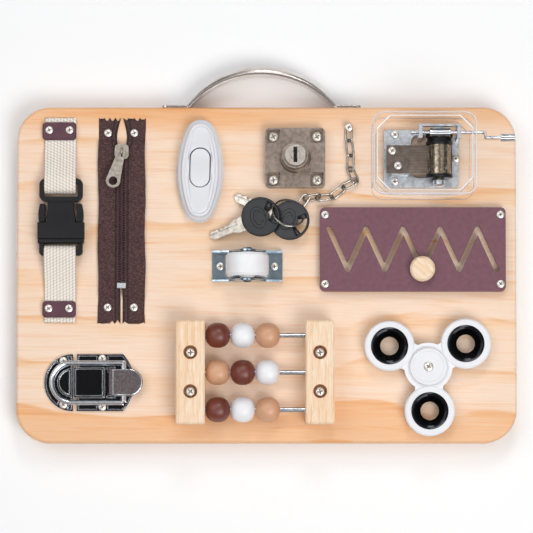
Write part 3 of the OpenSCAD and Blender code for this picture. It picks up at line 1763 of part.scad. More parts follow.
module spinner_hub() {
  cap_r = bearing_d / 2 + 0.4;
  cap_t = 1.4;
  cap_z = spinner_z + spinner_t + skin;
  color("#f1f1f3")
    translate([spinner_x, spinner_y, 0])
      difference() {
        union() {
          translate([0, 0, face])
            cylinder(h = cap_z - face + 0.2, r = hub_r);
          translate([0, 0, face])
            cylinder(h = spinner_z - face - skin, r = hub_r + 3);
          translate([0, 0, cap_z])
            cylinder(h = cap_t, r1 = cap_r, r2 = cap_r - 0.5);
        }
        translate([0, 0, cap_z + cap_t - 0.3])
          cylinder(h = cut, r = cap_r - 2.2);
        translate([0, 0, face - cut])
          cylinder(h = 30, r = large_screw[2] + fit);
      }
}
hub_seat = spinner_z + spinner_t + skin + 1.1;

comb_screw_l = 6;
module small_screws() {
  color("#d2d2d4") {
    screws_at(strap_screw_places, small_screw, strap_seat);
    screws_at(zip_screw_places, small_screw, zip_seat);
    screws_at(maze_screw_places, small_screw, maze_seat);
    screws_at(roller_screw_places, small_screw, roller_seat);
    screws_at([chain_screw_place], small_screw, chain_seat);
    screws_at(latch_screw_places, small_screw, latch_seat);
    screws_at(frame_screw_places, small_screw, frame_top_z);
    for (p = comb_screw_places)
      translate([p.x, p.y, comb_z + comb_t])
        screw(small_screw, comb_screw_l - small_screw[3]);
  }
}

module large_screws() {
  color("#c9c9cb") {
    screws_at(lock_screw_places, lock_screw, lock_seat);
    screws_at(post_screw_places, large_screw, post_seat);
    screws_at([[spinner_x, spinner_y]], large_screw, hub_seat);
    for (x = [-1, 1])
      translate([handle_x + x * handle_screw_x, top_y + handle_foot_t, board_t / 2])
        rotate([-90, 0, 0])
          screw(large_screw, handle_foot_t);
  }
}

board();
carry_handle();
strap_upper();
strap_lower();
strap_tabs();
buckle_female();
buckle_male();
buckle_prongs();
zip_tapes();
zip_coil();
zip_stop();
zip_slider();
zip_pull();
switch_base();
switch_cover();
switch_rocker();
lock_housing();
lock_plug();
lock_bolt();
chain_anchor_link();
key_chain();
key_ring();
key_front_head();
key_front_blade();
key_rear_head();
key_rear_blade();
roller_bracket();
roller_wheel();
roller_pin();
music_case();
music_frame();
music_comb();
music_barrel();
barrel_gear();
music_crank();
crank_grip();
maze_plate();
maze_knob();
abacus_posts();
abacus_rods();
bead_top_left();
bead_top_middle();
bead_top_right();
bead_middle_left();
bead_middle_middle();
bead_middle_right();
bead_low_left();
bead_low_middle();
bead_low_right();
latch_catch_plate();
latch_base_plate();
latch_lever();
latch_bail();
spinner_body();
spinner_rings();
spinner_bearing();
spinner_hub();
small_screws();
large_screws();
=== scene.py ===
import math
import random

import bmesh
import bpy
from mathutils import Matrix, Vector, noise


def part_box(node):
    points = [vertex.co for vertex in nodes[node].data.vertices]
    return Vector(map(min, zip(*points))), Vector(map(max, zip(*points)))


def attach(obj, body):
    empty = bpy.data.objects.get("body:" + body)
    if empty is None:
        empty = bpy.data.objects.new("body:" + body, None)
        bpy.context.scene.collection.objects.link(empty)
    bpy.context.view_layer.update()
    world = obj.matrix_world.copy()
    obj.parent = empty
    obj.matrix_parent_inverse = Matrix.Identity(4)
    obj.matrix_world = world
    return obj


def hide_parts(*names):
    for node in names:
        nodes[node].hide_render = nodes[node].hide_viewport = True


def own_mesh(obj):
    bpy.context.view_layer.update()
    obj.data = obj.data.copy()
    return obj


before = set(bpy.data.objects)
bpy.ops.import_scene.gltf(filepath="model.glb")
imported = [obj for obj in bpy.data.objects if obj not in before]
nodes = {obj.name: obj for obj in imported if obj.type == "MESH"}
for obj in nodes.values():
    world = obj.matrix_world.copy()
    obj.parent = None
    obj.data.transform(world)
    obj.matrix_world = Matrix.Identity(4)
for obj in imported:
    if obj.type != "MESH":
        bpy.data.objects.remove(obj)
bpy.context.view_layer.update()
mm = 0.001
random.seed(7)


def linear(code):  # sRGB hex to a linear colour
    parts = [int(code[i:i + 2], 16) / 255 for i in (1, 3, 5)]
    return [c / 12.92 if c <= 0.04045 else ((c + 0.055) / 1.055) ** 2.4 for c in parts] + [1]


def add(tree, kind, settings=None, links=None):  # one shader node with its settings and links
    node = tree.nodes.new("ShaderNode" + kind)
    for key, value in (settings or {}).items():
        if key == "stops":
            points = node.color_ramp.elements
            points.remove(points[1])
            points[0].position, points[0].color = value[0][0], linear(value[0][1])
            for place, code in value[1:]:
                points.new(place).color = linear(code)
        elif isinstance(key, str) and hasattr(node, key):
            setattr(node, key, value)
        else:
            node.inputs[key].default_value = value
    for key, source in (links or {}).items():
        tree.links.new(source, node.inputs[key])
    return node


def newMaterial(name, look):
    made = bpy.data.materials.new(name)
    made.use_nodes = True
    shader = made.node_tree.nodes["Principled BSDF"]
    for key in ("Roughness", "IOR", "Coat Weight", "Coat Roughness", "Sheen Weight", "Sheen Roughness",
                "Subsurface Weight", "Subsurface Scale", "Specular IOR Level"):
        if key in look:
            shader.inputs[key].default_value = look[key]
    return made, made.node_tree, shader


def dress(material, *names):  # gives a carried-over piece its finish
    for name in names:
        slots = nodes[name].data.materials
        slots.clear()
        slots.append(material)


# Camera and light

camera = {"place": (0.0, -0.1603, 2.166), "tilt": 0.0619, "lens": 242.4, "shift": 0.1, "far": 20}
view = bpy.data.cameras.new("camera")
view.lens, view.shift_y, view.clip_end = camera["lens"], camera["shift"], camera["far"]
eye = bpy.data.objects.new("camera", view)
eye.location, eye.rotation_euler = camera["place"], (camera["tilt"], 0, 0)
bpy.context.scene.collection.objects.link(eye)
bpy.context.scene.camera = eye
bpy.context.scene.view_settings.view_transform = "Standard"

lamps = {
    "keySoftbox": {"place": (0.6, -0.8, 1.5), "size": 0.9, "power": 14, "colour": "#ffffff"},
    "fillSoftbox": {"place": (-0.9, 0.5, 1.5), "size": 1.1, "power": 6, "colour": "#f6f9ff"},
    "topStrip": {"place": (0.1, 0.9, 1.1), "size": 0.35, "power": 3, "colour": "#ffffff"},
}
aim = Vector((0, 0, 0.02))  # the middle of the board
for name, lamp in lamps.items():
    light = bpy.data.lights.new(name, "AREA")
    light.shape, light.size, light.energy = "SQUARE", lamp["size"], lamp["power"]
    light.color = linear(lamp["colour"])[:3]
    holder = bpy.data.objects.new(name, light)
    holder.location = lamp["place"]
    holder.rotation_mode = "QUATERNION"
    holder.rotation_quaternion = (Vector(lamp["place"]) - aim).to_track_quat("Z", "Y")
    bpy.context.scene.collection.objects.link(holder)

room = bpy.data.worlds.new("room")
bpy.context.scene.world = room
room.use_nodes = True
roomTree = room.node_tree
roomTree.nodes.clear()
ways = add(roomTree, "TexCoord")
height = add(roomTree, "SeparateXYZ", links={"Vector": ways.outputs["Generated"]})
# dark sides, a bright ceiling, and a dark card straight up, which flat chrome shows
walls = add(roomTree, "ValToRGB",
            {"stops": [(0.0, "#8c8c8c"), (0.35, "#4c4c4c"), (0.6, "#6c6c6c"), (0.8, "#d0d0d0"),
                       (0.9, "#f6f6f6"), (0.973, "#ffffff"), (0.985, "#2c2c2e"), (1.0, "#161618")]},
            {"Fac": height.outputs["Z"]})
seen = add(roomTree, "LightPath")
paint = add(roomTree, "MixRGB", {"Color2": linear("#ffffff")},
            {"Fac": seen.outputs["Is Camera Ray"], "Color1": walls.outputs["Color"]})
glow = add(roomTree, "Background", {"Strength": 1.0}, {"Color": paint.outputs["Color"]})
add(roomTree, "OutputWorld", links={"Surface": glow.outputs["Background"]})

ground = {"half": 4, "drop": 0.0003, "colour": "#fafafa", "roughness": 0.7}
floorMesh = bpy.data.meshes.new("floor")
corners = [(x * ground["half"], y * ground["half"], -ground["drop"])
           for x, y in ((-1, -1), (1, -1), (1, 1), (-1, 1))]
floorMesh.from_pydata(corners, [], [(0, 1, 2, 3)])
floor = bpy.data.objects.new("floor", floorMesh)
bpy.context.scene.collection.objects.link(floor)
floorPaint, _, floorShader = newMaterial("floorPaint", {"Roughness": ground["roughness"]})
floorShader.inputs["Base Color"].default_value = linear(ground["colour"])
floorMesh.materials.append(floorPaint)
print("camera, lamps and floor are ready")


# Finishes

ringScale = 314  # the Scale of a Wave texture that puts its rings 1 mm apart


def woodFinish(name, look):  # growth rings that end in a late-wood line, plain patches, streaks and fibres
    made, tree, shader = newMaterial(name, look)
    place = add(tree, "TexCoord")
    lay = add(tree, "Mapping", {"Location": look["pith"], "Rotation": look["turn"]},
              {"Vector": place.outputs["Object"]})

    def grainNoise(sizeMm, twist, detail=3.0):
        long = add(tree, "Mapping", {"Scale": [1000 / size for size in sizeMm]},
                   {"Vector": lay.outputs["Vector"]})
        return add(tree, "TexNoise", {"Scale": 1.0, "Detail": detail, "Roughness": 0.55, "Distortion": twist},
                   {"Vector": long.outputs["Vector"]})

    sway = grainNoise(look["swayMm"], 0.3, 2.0)
    pushed = add(tree, "VectorMath", {"operation": "MULTIPLY_ADD", 1: (look["sway"] * mm,) * 3},
                 {0: sway.outputs["Color"], 2: lay.outputs["Vector"]})
    rings = add(tree, "TexWave", {"bands_direction": look["across"], "wave_profile": "SAW",
                                  "Scale": ringScale / look["ringMm"]}, {"Vector": pushed.outputs["Vector"]})
    bands = add(tree, "ValToRGB", {"stops": look["bands"]}, {"Fac": rings.outputs["Fac"]})
    patch = add(tree, "ValToRGB", {"stops": [(0.42, "#000000"), (0.6, "#ffffff")]},
                {"Fac": grainNoise(look["broadMm"], 0.5).outputs["Fac"]})
    ground = add(tree, "MixRGB", {"Color1": linear(look["bands"][0][1])},
                 {"Fac": patch.outputs["Color"], "Color2": bands.outputs["Color"]})
    paint = ground
    if "edges" in look:  # darker heartwood toward the long edges of the panel
        height = add(tree, "SeparateXYZ", links={"Vector": pushed.outputs["Vector"]})
        away = add(tree, "MapRange", {"From Min": look["edgeFrom"], "From Max": look["edgeTo"]},
                   {"Value": height.outputs["Y"]})
        heart = add(tree, "ValToRGB", {"stops": look["edges"]}, {"Fac": away.outputs["Result"]})
        paint = add(tree, "MixRGB", {"blend_type": "MULTIPLY", "Fac": 1.0},
                    {"Color1": ground.outputs["Color"], "Color2": heart.outputs["Color"]})
    fibre = grainNoise(look["fibreMm"], 0.1)
    for mark, stops in ((grainNoise(look["streakMm"], 1.1), look["streaks"]), (fibre, look["fibres"])):
        tone = add(tree, "ValToRGB", {"stops": stops}, {"Fac": mark.outputs["Fac"]})
        paint = add(tree, "MixRGB", {"blend_type": "MULTIPLY", "Fac": 1.0},
                    {"Color1": paint.outputs["Color"], "Color2": tone.outputs["Color"]})
    tree.links.new(paint.outputs["Color"], shader.inputs["Base Color"])
    eased = add(tree, "Bevel", {"samples": 4, "Radius": 0.5 * mm})
    grain = add(tree, "Bump", {"Strength": 0.15, "Distance": 0.12 * mm},
                {"Height": fibre.outputs["Fac"], "Normal": eased.outputs["Normal"]})
    tree.links.new(grain.outputs["Normal"], shader.inputs["Normal"])
    return made


def mouldedPlastic(name, look):  # even body colour, a fine spark-eroded grain in the skin
    made, tree, shader = newMaterial(name, look)
    place = add(tree, "TexCoord")
    cloud = add(tree, "TexNoise", {"Scale": 1000 / look.get("cloudMm", 14), "Detail": 3.0},
                {"Vector": place.outputs["Object"]})
    tone = add(tree, "ValToRGB", {"stops": [(0.3, look["dark"]), (0.7, look["colour"])]},
               {"Fac": cloud.outputs["Fac"]})
    tree.links.new(tone.outputs["Color"], shader.inputs["Base Color"])
    skin = add(tree, "TexNoise", {"Scale": 1000 / look["grainMm"], "Detail": 2.0},
               {"Vector": place.outputs["Object"]})
    eased = add(tree, "Bevel", {"samples": 4, "Radius": look.get("edgeMm", 0.3) * mm})
    bump = add(tree, "Bump", {"Strength": look["depth"], "Distance": 0.05 * mm},
               {"Height": skin.outputs["Fac"], "Normal": eased.outputs["Normal"]})
    tree.links.new(bump.outputs["Normal"], shader.inputs["Normal"])
    if "smear" in look:  # handling marks break the gloss a little
        film = add(tree, "MapRange", {"To Min": look["Roughness"] - look["smear"],
                                      "To Max": look["Roughness"] + look["smear"]},
                   {"Value": cloud.outputs["Fac"]})
        tree.links.new(film.outputs["Result"], shader.inputs["Roughness"])
    return made


def metalFinish(name, look):  # tarnish blotches, the lines that the making left, and painted shade in recesses
    made, tree, shader = newMaterial(name, look)
    shader.inputs["Metallic"].default_value = 1.0
    place = add(tree, "TexCoord")
    blotch = add(tree, "TexNoise", {"Scale": 1000 / look["blotchMm"], "Detail": 4.0, "Roughness": 0.6},
                 {"Vector": place.outputs["Object"]})
    tone = add(tree, "ValToRGB", {"stops": [(0.36, look["dark"]), (0.64, look["colour"])]},
               {"Fac": blotch.outputs["Fac"]})
    # painted shade: a dark colour mixed in by the mesh's shading values, which darkens the screws' cross
    # recesses and head sides
    sunk = add(tree, "Attribute", {"attribute_name": "relief"})
    paint = add(tree, "MixRGB", {"Color2": linear(look.get("grime", "#3a332d"))},
                {"Fac": sunk.outputs["Fac"], "Color1": tone.outputs["Color"]})
    tree.links.new(paint.outputs["Color"], shader.inputs["Base Color"])
    lay = add(tree, "Mapping", {"Rotation": look.get("turn", (0, 0, 0)),
                                "Scale": look.get("lines", (900, 900, 900))},
              {"Vector": place.outputs["Object"]})
    lines = add(tree, "TexNoise", {"Scale": 1.0, "Detail": 3.0}, {"Vector": lay.outputs["Vector"]})
    eased = add(tree, "Bevel", {"samples": 4, "Radius": look.get("edgeMm", 0.22) * mm})
    bump = add(tree, "Bump", {"Strength": look["depth"], "Distance": 0.04 * mm},
               {"Height": lines.outputs["Fac"], "Normal": eased.outputs["Normal"]})
    tree.links.new(bump.outputs["Normal"], shader.inputs["Normal"])
    worn = add(tree, "MapRange", {"To Min": look["Roughness"] + look.get("spread", 0.06),
                                  "To Max": max(0.02, look["Roughness"] - look.get("spread", 0.06))},
               {"Value": blotch.outputs["Fac"]})
    tree.links.new(worn.outputs["Result"], shader.inputs["Roughness"])
    return made


def wovenCloth(name, look):  # yarn with painted light and shade: lighter where it stands up, darker between, with loose hairs
    made, tree, shader = newMaterial(name, look)
    place = add(tree, "TexCoord")
    relief = add(tree, "Attribute", {"attribute_name": "relief"})
    lay = add(tree, "Mapping", {"Rotation": (0, 0, look.get("turn", 0)),
                                "Scale": [1000 / size for size in look["yarnMm"]]},
              {"Vector": place.outputs["Object"]})
    yarn = add(tree, "TexNoise", {"Scale": 1.0, "Detail": 2.0}, {"Vector": lay.outputs["Vector"]})
    light = add(tree, "MixRGB", {"Fac": look["hair"]},
                {"Color1": relief.outputs["Fac"], "Color2": yarn.outputs["Fac"]})
    tone = add(tree, "ValToRGB", {"stops": look["tones"]}, {"Fac": light.outputs["Color"]})
    tree.links.new(tone.outputs["Color"], shader.inputs["Base Color"])
    bump = add(tree, "Bump", {"Strength": look["depth"], "Distance": 0.2 * mm},
               {"Height": yarn.outputs["Fac"]})
    tree.links.new(bump.outputs["Normal"], shader.inputs["Normal"])
    return made


def clearAcrylic(name, look):  # seen through on the flats, with a painted highlight and painted shade as white and dark lines along the rims, which are also made less see-through as a painted reflection
    made, tree, shader = newMaterial(name, look)
    rim = add(tree, "Attribute", {"attribute_name": "relief"})
    tone = add(tree, "ValToRGB", {"stops": look["tones"]}, {"Fac": rim.outputs["Fac"]})
    tree.links.new(tone.outputs["Color"], shader.inputs["Base Color"])
    skin = add(tree, "ValToRGB", {"stops": look["cover"]}, {"Fac": rim.outputs["Fac"]})
    tree.links.new(skin.outputs["Color"], shader.inputs["Alpha"])
    return made


pithY, halfBoard, edgeSlip = 0.71, 0.101, 0.019  # m: middle, half width and shift of the board in its wood
finishes = {
    # clear-sealed pine, flat sawn: broad pale early wood that ends in soft salmon lines along the board
    "sealedPine": woodFinish("sealedPine", {
        "Roughness": 0.5, "Coat Weight": 0.1, "Coat Roughness": 0.35, "pith": (0.3, pithY, 0.05),
        "turn": (0.0, 0.0, 0.012), "across": "Y", "ringMm": 27, "swayMm": (120, 30, 40), "sway": 38,
        "bands": [(0.0, "#f6dcc6"), (0.5, "#f6d9bf"), (0.84, "#f4cda6"), (0.96, "#efbf91"), (1.0, "#f4d2b2")],
        "edgeFrom": pithY - halfBoard + edgeSlip, "edgeTo": pithY + halfBoard + edgeSlip,
        "edges": [(0.0, "#fadfc0"), (0.07, "#fbe2c6"), (0.12, "#ffffff"), (0.9, "#ffffff"),
                  (0.96, "#fce6cd"), (1.0, "#fadfc0")],
        "broadMm": (150, 22, 30), "streakMm": (70, 3.2, 9),
        "streaks": [(0.5, "#ffffff"), (0.64, "#fdf4ea"), (0.78, "#f6dcc0")], "fibreMm": (22, 0.8, 0.8),
        "fibres": [(0.3, "#fbf5ee"), (0.62, "#ffffff")]}),
    # turned and sanded pale hardwood, close grain along Y
    "sandedBeech": woodFinish("sandedBeech", {
        "Roughness": 0.52, "Coat Weight": 0.08, "Coat Roughness": 0.35, "pith": (0.3, 0.1, 0.05),
        "turn": (0.0, 0.0, 0.02), "across": "X", "ringMm": 4.2, "swayMm": (12, 60, 12), "sway": 5,
        "bands": [(0.0, "#fbe8d3"), (0.5, "#f9e1c7"), (0.9, "#f3cfa9"), (1.0, "#f7dcc0")],
        "broadMm": (9, 50, 9), "streakMm": (1.0, 11, 3),
        "streaks": [(0.36, "#ffffff"), (0.56, "#fbf1e4"), (0.72, "#f0dcc0")], "fibreMm": (0.7, 12, 0.7),
        "fibres": [(0.3, "#f8f0e4"), (0.62, "#ffffff")]}),
    "knobBeech": woodFinish("knobBeech", {
        "Roughness": 0.5, "Coat Weight": 0.1, "Coat Roughness": 0.35, "pith": (0.2, 0.4, 0.03),
        "turn": (0.0, 0.0, 0.7), "across": "Y", "ringMm": 3.4, "swayMm": (30, 9, 9), "sway": 3,
        "bands": [(0.0, "#fbead6"), (0.5, "#f8e2ca"), (0.9, "#f2d2ae"), (1.0, "#f7dec3")],
        "broadMm": (30, 8, 8), "streakMm": (9, 1.2, 3),
        "streaks": [(0.36, "#ffffff"), (0.56, "#fbf2e6"), (0.72, "#f3e0c6")], "fibreMm": (8, 0.7, 0.7),
        "fibres": [(0.3, "#f9f2e6"), (0.62, "#ffffff")]}),
    # the ring that a bit scorches into a counterbore
    "scorchedBeech": woodFinish("scorchedBeech", {
        "Roughness": 0.7, "pith": (0.2, 0.4, 0.03), "turn": (0.0, 0.0, 0.0), "across": "X", "ringMm": 3,
        "swayMm": (5, 5, 5), "sway": 2, "bands": [(0.0, "#c08a58"), (0.6, "#a8703f"), (1.0, "#8a5529")],
        "broadMm": (5, 5, 5), "streakMm": (1.5, 1.5, 1.5), "streaks": [(0.36, "#ffffff"), (0.6, "#d9bfa4")],
        "fibreMm": (0.6, 0.6, 0.6), "fibres": [(0.3, "#e9dccb"), (0.62, "#ffffff")]}),
    # soft spun cotton in a heavy narrow weave: dull, with a slight sheen from loose hairs
    "cottonWebbing": wovenCloth("cottonWebbing", {
        "Roughness": 0.9, "Sheen Weight": 0.2, "Sheen Roughness": 0.6, "yarnMm": (0.5, 0.9, 0.5),
        "hair": 0.25, "tones": [(0.14, "#b5a694"), (0.36, "#dbcfc1"), (0.62, "#f0e8de"), (0.9, "#f7f2ea")],
        "depth": 0.4}),
    # polyester zip tape: ribs of twisted thread, slightly shiny, drawn 1.2 mm long so that they show
    "polyesterTape": wovenCloth("polyesterTape", {
        "Roughness": 0.8, "Sheen Weight": 0.12, "Sheen Roughness": 0.5, "yarnMm": (1.2, 0.7, 0.6),
        "hair": 0.6, "turn": 0.5,
        "tones": [(0.3, "#140808"), (0.56, "#2b1616"), (0.68, "#412626"), (0.82, "#644444")], "depth": 0.8}),
    "nylonCoil": mouldedPlastic("nylonCoil", {
        "Roughness": 0.3, "colour": "#4f3033", "dark": "#412629", "grainMm": 0.4, "depth": 0.05}),
    # smooth dyed leather: satin top coat, fine pebble
    "plumLeather": mouldedPlastic("plumLeather", {
        "Roughness": 0.5, "Coat Weight": 0.1, "Coat Roughness": 0.4, "colour": "#5c2f40", "dark": "#4c2534",
        "grainMm": 0.7, "depth": 0.35, "cloudMm": 5}),
    "blackAcetal": mouldedPlastic("blackAcetal", {
        "Roughness": 0.36, "Specular IOR Level": 0.35, "colour": "#100f14", "dark": "#0b0a0e",
        "grainMm": 0.5, "depth": 0.2, "edgeMm": 0.9, "smear": 0.06}),
    "keyHeadPlastic": mouldedPlastic("keyHeadPlastic", {
        "Roughness": 0.34, "colour": "#26272a", "dark": "#1b1c1f", "grainMm": 0.6, "depth": 0.2,
        "smear": 0.08}),
    "whitePolycarbonate": mouldedPlastic("whitePolycarbonate", {
        "Roughness": 0.28, "Coat Weight": 0.2, "Coat Roughness": 0.12, "colour": "#e6e6ea",
        "dark": "#e2e2e6", "grainMm": 0.8, "depth": 0.03}),
    "whiteNylon": mouldedPlastic("whiteNylon", {
        "Roughness": 0.38, "Subsurface Weight": 0.1, "Subsurface Scale": 0.002, "colour": "#f5f5f7",
        "dark": "#eeeef1", "grainMm": 0.7, "depth": 0.05}),
    "whiteAbs": mouldedPlastic("whiteAbs", {
        "Roughness": 0.3, "Coat Weight": 0.15, "Coat Roughness": 0.15, "colour": "#f3f3f6",
        "dark": "#ededf1", "grainMm": 0.8, "depth": 0.03}),
    "blackChrome": metalFinish("blackChrome", {
        "Roughness": 0.14, "colour": "#2a2a2d", "dark": "#222225", "blotchMm": 8, "depth": 0.02,
        "spread": 0.03}),
    # antique plate: dark and light bloom over pressed steel
    "antiqueNickel": metalFinish("antiqueNickel", {
        "Roughness": 0.36, "colour": "#b8a89b", "dark": "#8a7d73", "blotchMm": 2.4, "depth": 0.35,
        "spread": 0.12, "edgeMm": 0.4}),
    "turnedNickel": metalFinish("turnedNickel", {
        "Roughness": 0.34, "colour": "#e6dcd4", "dark": "#c4b9af", "blotchMm": 3.5, "depth": 0.12,
        "edgeMm": 0.4}),
    "agedNickel": metalFinish("agedNickel", {
        "Roughness": 0.32, "colour": "#d3cabd", "dark": "#b0a698", "blotchMm": 2.4, "depth": 0.1,
        "edgeMm": 0.4}),
    "whiteMetal": metalFinish("whiteMetal", {
        "Roughness": 0.4, "colour": "#d8d9de", "dark": "#b8babf", "blotchMm": 1.5, "depth": 0.2}),
    "keyNickel": metalFinish("keyNickel", {
        "Roughness": 0.28, "colour": "#cdc5ba", "dark": "#a69e93", "blotchMm": 3, "depth": 0.2,
        "edgeMm": 0.35, "lines": (200, 2500, 900)}),
    "zincWire": metalFinish("zincWire", {
        "Roughness": 0.24, "colour": "#c9c4bd", "dark": "#9f9a93", "blotchMm": 2, "depth": 0.05}),
    # blue-passivated zinc: cold tint, faint clouds
    "blueZinc": metalFinish("blueZinc", {
        "Roughness": 0.24, "colour": "#c9d9e6", "dark": "#97abba", "blotchMm": 5, "depth": 0.08}),
    "dieCastZinc": metalFinish("dieCastZinc", {
        "Roughness": 0.36, "colour": "#e2e6ea", "dark": "#b5bcc3", "blotchMm": 3, "depth": 0.15}),
    "groundSpringSteel": metalFinish("groundSpringSteel", {
        "Roughness": 0.3, "colour": "#95877e", "dark": "#74675f", "blotchMm": 3, "depth": 0.2,
        "lines": (150, 2600, 900)}),
    "washedBrass": metalFinish("washedBrass", {
        "Roughness": 0.25, "colour": "#ad9f8b", "dark": "#7d705f", "blotchMm": 2, "depth": 0.1}),
    "brightSteel": metalFinish("brightSteel", {
        "Roughness": 0.16, "colour": "#c9cbcf", "dark": "#a4a6aa", "blotchMm": 4, "depth": 0.04}),
    "satinSteel": metalFinish("satinSteel", {
        "Roughness": 0.2, "colour": "#e6ddd8", "dark": "#cfc5bf", "blotchMm": 12, "depth": 0.05,
        "edgeMm": 0.7, "lines": (40, 40, 2600)}),
    "chromePlate": metalFinish("chromePlate", {
        "Roughness": 0.07, "colour": "#e4e6ea", "dark": "#d2d4da", "blotchMm": 9, "depth": 0.015,
        "spread": 0.02, "edgeMm": 0.55}),
    # the lever's tongue, brushed lengthwise under thin chrome
    "brushedTongue": metalFinish("brushedTongue", {
        "Roughness": 0.3, "colour": "#948989", "dark": "#6d6464", "blotchMm": 0.9, "depth": 0.4,
        "edgeMm": 0.6, "lines": (120, 2600, 900)}),
    "screwNickel": metalFinish("screwNickel", {
        "Roughness": 0.42, "colour": "#f6f1ea", "dark": "#e6dfd5", "blotchMm": 1.4, "depth": 0.02,
        "edgeMm": 0.1}),
    # plum lacquer sprayed over a milled plate, with fine dust in it
    "plumLacquer": mouldedPlastic("plumLacquer", {
        "Roughness": 0.42, "Coat Weight": 0.15, "Coat Roughness": 0.3, "colour": "#7b4d5b",
        "dark": "#6e4451", "grainMm": 0.9, "depth": 0.45, "cloudMm": 3}),
}
lacquers = {"brown": ("#77392a", "#6c3124"), "tan": ("#d9a682", "#cf9a76"), "white": ("#f4f4f6", "#efeff2")}
for paint, (colour, dark) in lacquers.items():
    # satin lacquer over turned beads: even colour and one broad soft highlight
    finishes[paint + "Lacquer"] = mouldedPlastic(paint + "Lacquer", {
        "Roughness": 0.42, "Coat Weight": 0.25, "Coat Roughness": 0.28, "colour": colour, "dark": dark,
        "grainMm": 1.2, "depth": 0.04})

# painted highlight and shade along the case's rims: white where they catch the light, dark grey where they
# bend it, and more cover there
finishes["clearAcrylic"] = clearAcrylic("clearAcrylic", {
    "Roughness": 0.06, "IOR": 1.49,  # moulded acrylic
    "tones": [(0.0, "#ffffff"), (0.2, "#fbfaff"), (0.3, "#5d5660"), (0.42, "#5d5660"), (0.55, "#ffffff"),
              (0.8, "#ffffff"), (1.0, "#dcd5ee")],
    "cover": [(0.0, "#060606"), (0.06, "#0d0d0d"), (0.2, "#5c5c5c"), (0.36, "#a8a8a8"), (0.6, "#c8c8c8"),
              (0.8, "#e6e6e6"), (1.0, "#dcdcdc")]})


# Shapes that the pieces share

def newPiece(name, shape, finish, body, stands=(), smooth=True):  # shape is (points in mm, faces)
    mesh = bpy.data.meshes.new(name)
    mesh.from_pydata([tuple(c * mm for c in p) for p in shape[0]], [], shape[1])
    mesh.validate()
    mesh.polygons.foreach_set("use_smooth", [smooth] * len(mesh.polygons))
    mesh.materials.append(finishes[finish])
    piece = bpy.data.objects.new(name, mesh)
    bpy.context.scene.collection.objects.link(piece)
    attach(piece, body)
    if stands:
        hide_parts(*stands)
    return piece


def shade(piece, values):  # how light each point of the mesh is, read by the finish as painted light and shade
    layer = piece.data.attributes.new("relief", "FLOAT", "POINT")
    layer.data.foreach_set("value", values)


def loft(loops, closed=True, caps=True):
    count = len(loops[0])
    points = [p for loop in loops for p in loop]
    faces = []
    for i in range(len(loops) - 1):
        for k in range(count if closed else count - 1):
            n = (k + 1) % count
            faces.append((i * count + k, i * count + n, (i + 1) * count + n, (i + 1) * count + k))
    if caps:
        faces.append(tuple(range(count - 1, -1, -1)))
        faces.append(tuple(range((len(loops) - 1) * count, len(loops) * count)))
    return points, faces


def joined(shapes):
    points, faces = [], []
    for more, ends in shapes:
        start = len(points)
        points += more
        faces += [tuple(i + start for i in face) for face in ends]
    return points, faces


def roundedLoop(w, l, r, z, steps=6):  # a rectangle with round corners
    loop = []
    for turn, (sx, sy) in enumerate(((1, 1), (-1, 1), (-1, -1), (1, -1))):
        for i in range(steps + 1):
            a = math.radians(90 * (turn + i / steps))
            loop.append((sx * (w / 2 - r) + r * math.cos(a), sy * (l / 2 - r) + r * math.sin(a), z))
    return loop


def ringLoop(r, z, steps=48, centre=(0, 0)):
    return [(centre[0] + r * math.cos(2 * math.pi * i / steps),
             centre[1] + r * math.sin(2 * math.pi * i / steps), z) for i in range(steps)]


def placed(shape, place, turn=0.0, tip=None):  # turned about Z, or by a matrix, and moved
    spin = tip or Matrix.Rotation(turn, 3, "Z")
    return [tuple(spin @ Vector(p) + Vector(place)) for p in shape[0]], shape[1]


def smoothed(path, rounds=2):  # cuts the corners of an open path and keeps its ends
    for _ in range(rounds):
        fresh = [path[0]]
        for a, b in zip(path, path[1:]):
            fresh.append([0.75 * p + 0.25 * q for p, q in zip(a, b)])
            fresh.append([0.25 * p + 0.75 * q for p, q in zip(a, b)])
        path = fresh + [path[-1]]
    return path


def stepped(path, step):  # the same path with even steps
    lengths = [0]
    for a, b in zip(path, path[1:]):
        lengths.append(lengths[-1] + math.dist(a, b))
    count = max(2, round(lengths[-1] / step))
    fresh, i = [], 0
    for n in range(count + 1):
        at = lengths[-1] * n / count
        while i < len(path) - 2 and lengths[i + 1] < at:
            i += 1
        share = (at - lengths[i]) / max(1e-9, lengths[i + 1] - lengths[i])
        fresh.append([p + share * (q - p) for p, q in zip(path[i], path[i + 1])])
    return fresh


# Strap: two lengths of cotton webbing, each sewn round a bar of the buckle

boardTop = 18
strap = {
    "x": -123.7, "width": 19.0, "thick": 1.6, "column": 1.9, "row": 1.9, "lift": 0.34, "fray": 0.7,
    "step": 0.38, "across": 50, "skin": 0.1, "edge": 0.7, "frayed": 4, "wander": 0.22, "slant": 0.55,
    "crown": 0.6, "valley": 1.1, "shift": 40, "thin": 0.75, "mid": 0.6,
    "upper": [[94.1, 18.9], [75.6, 18.9], [62.8, 23.8], [58, 25.8], [51, 25.8], [49.2, 23.45], [49.2, 21.65],
              [51, 19.3], [57.4, 19.3], [62.8, 19.2], [71.6, 18.9]],
    "lower": [[-28.9, 18.9], [-10.6, 18.9], [5.6, 23.8], [10.4, 25.8], [14.8, 25.8], [16.6, 23.45],
              [16.6, 21.65], [14.8, 19.3], [11, 19.3], [5.6, 19.2], [-6.6, 18.9]],
}


def floats(u, v):  # height of the slanted yarn floats, 0 in the crevices
    column = math.floor(u / strap["column"])
    across = u / strap["column"] - column - 0.5
    along = v / strap["row"] + 0.5 * (column % 2) - strap["slant"] * across
    return abs(math.sin(math.pi * along)) ** strap["crown"] * (1 - strap["valley"] * abs(2 * across) ** 3)


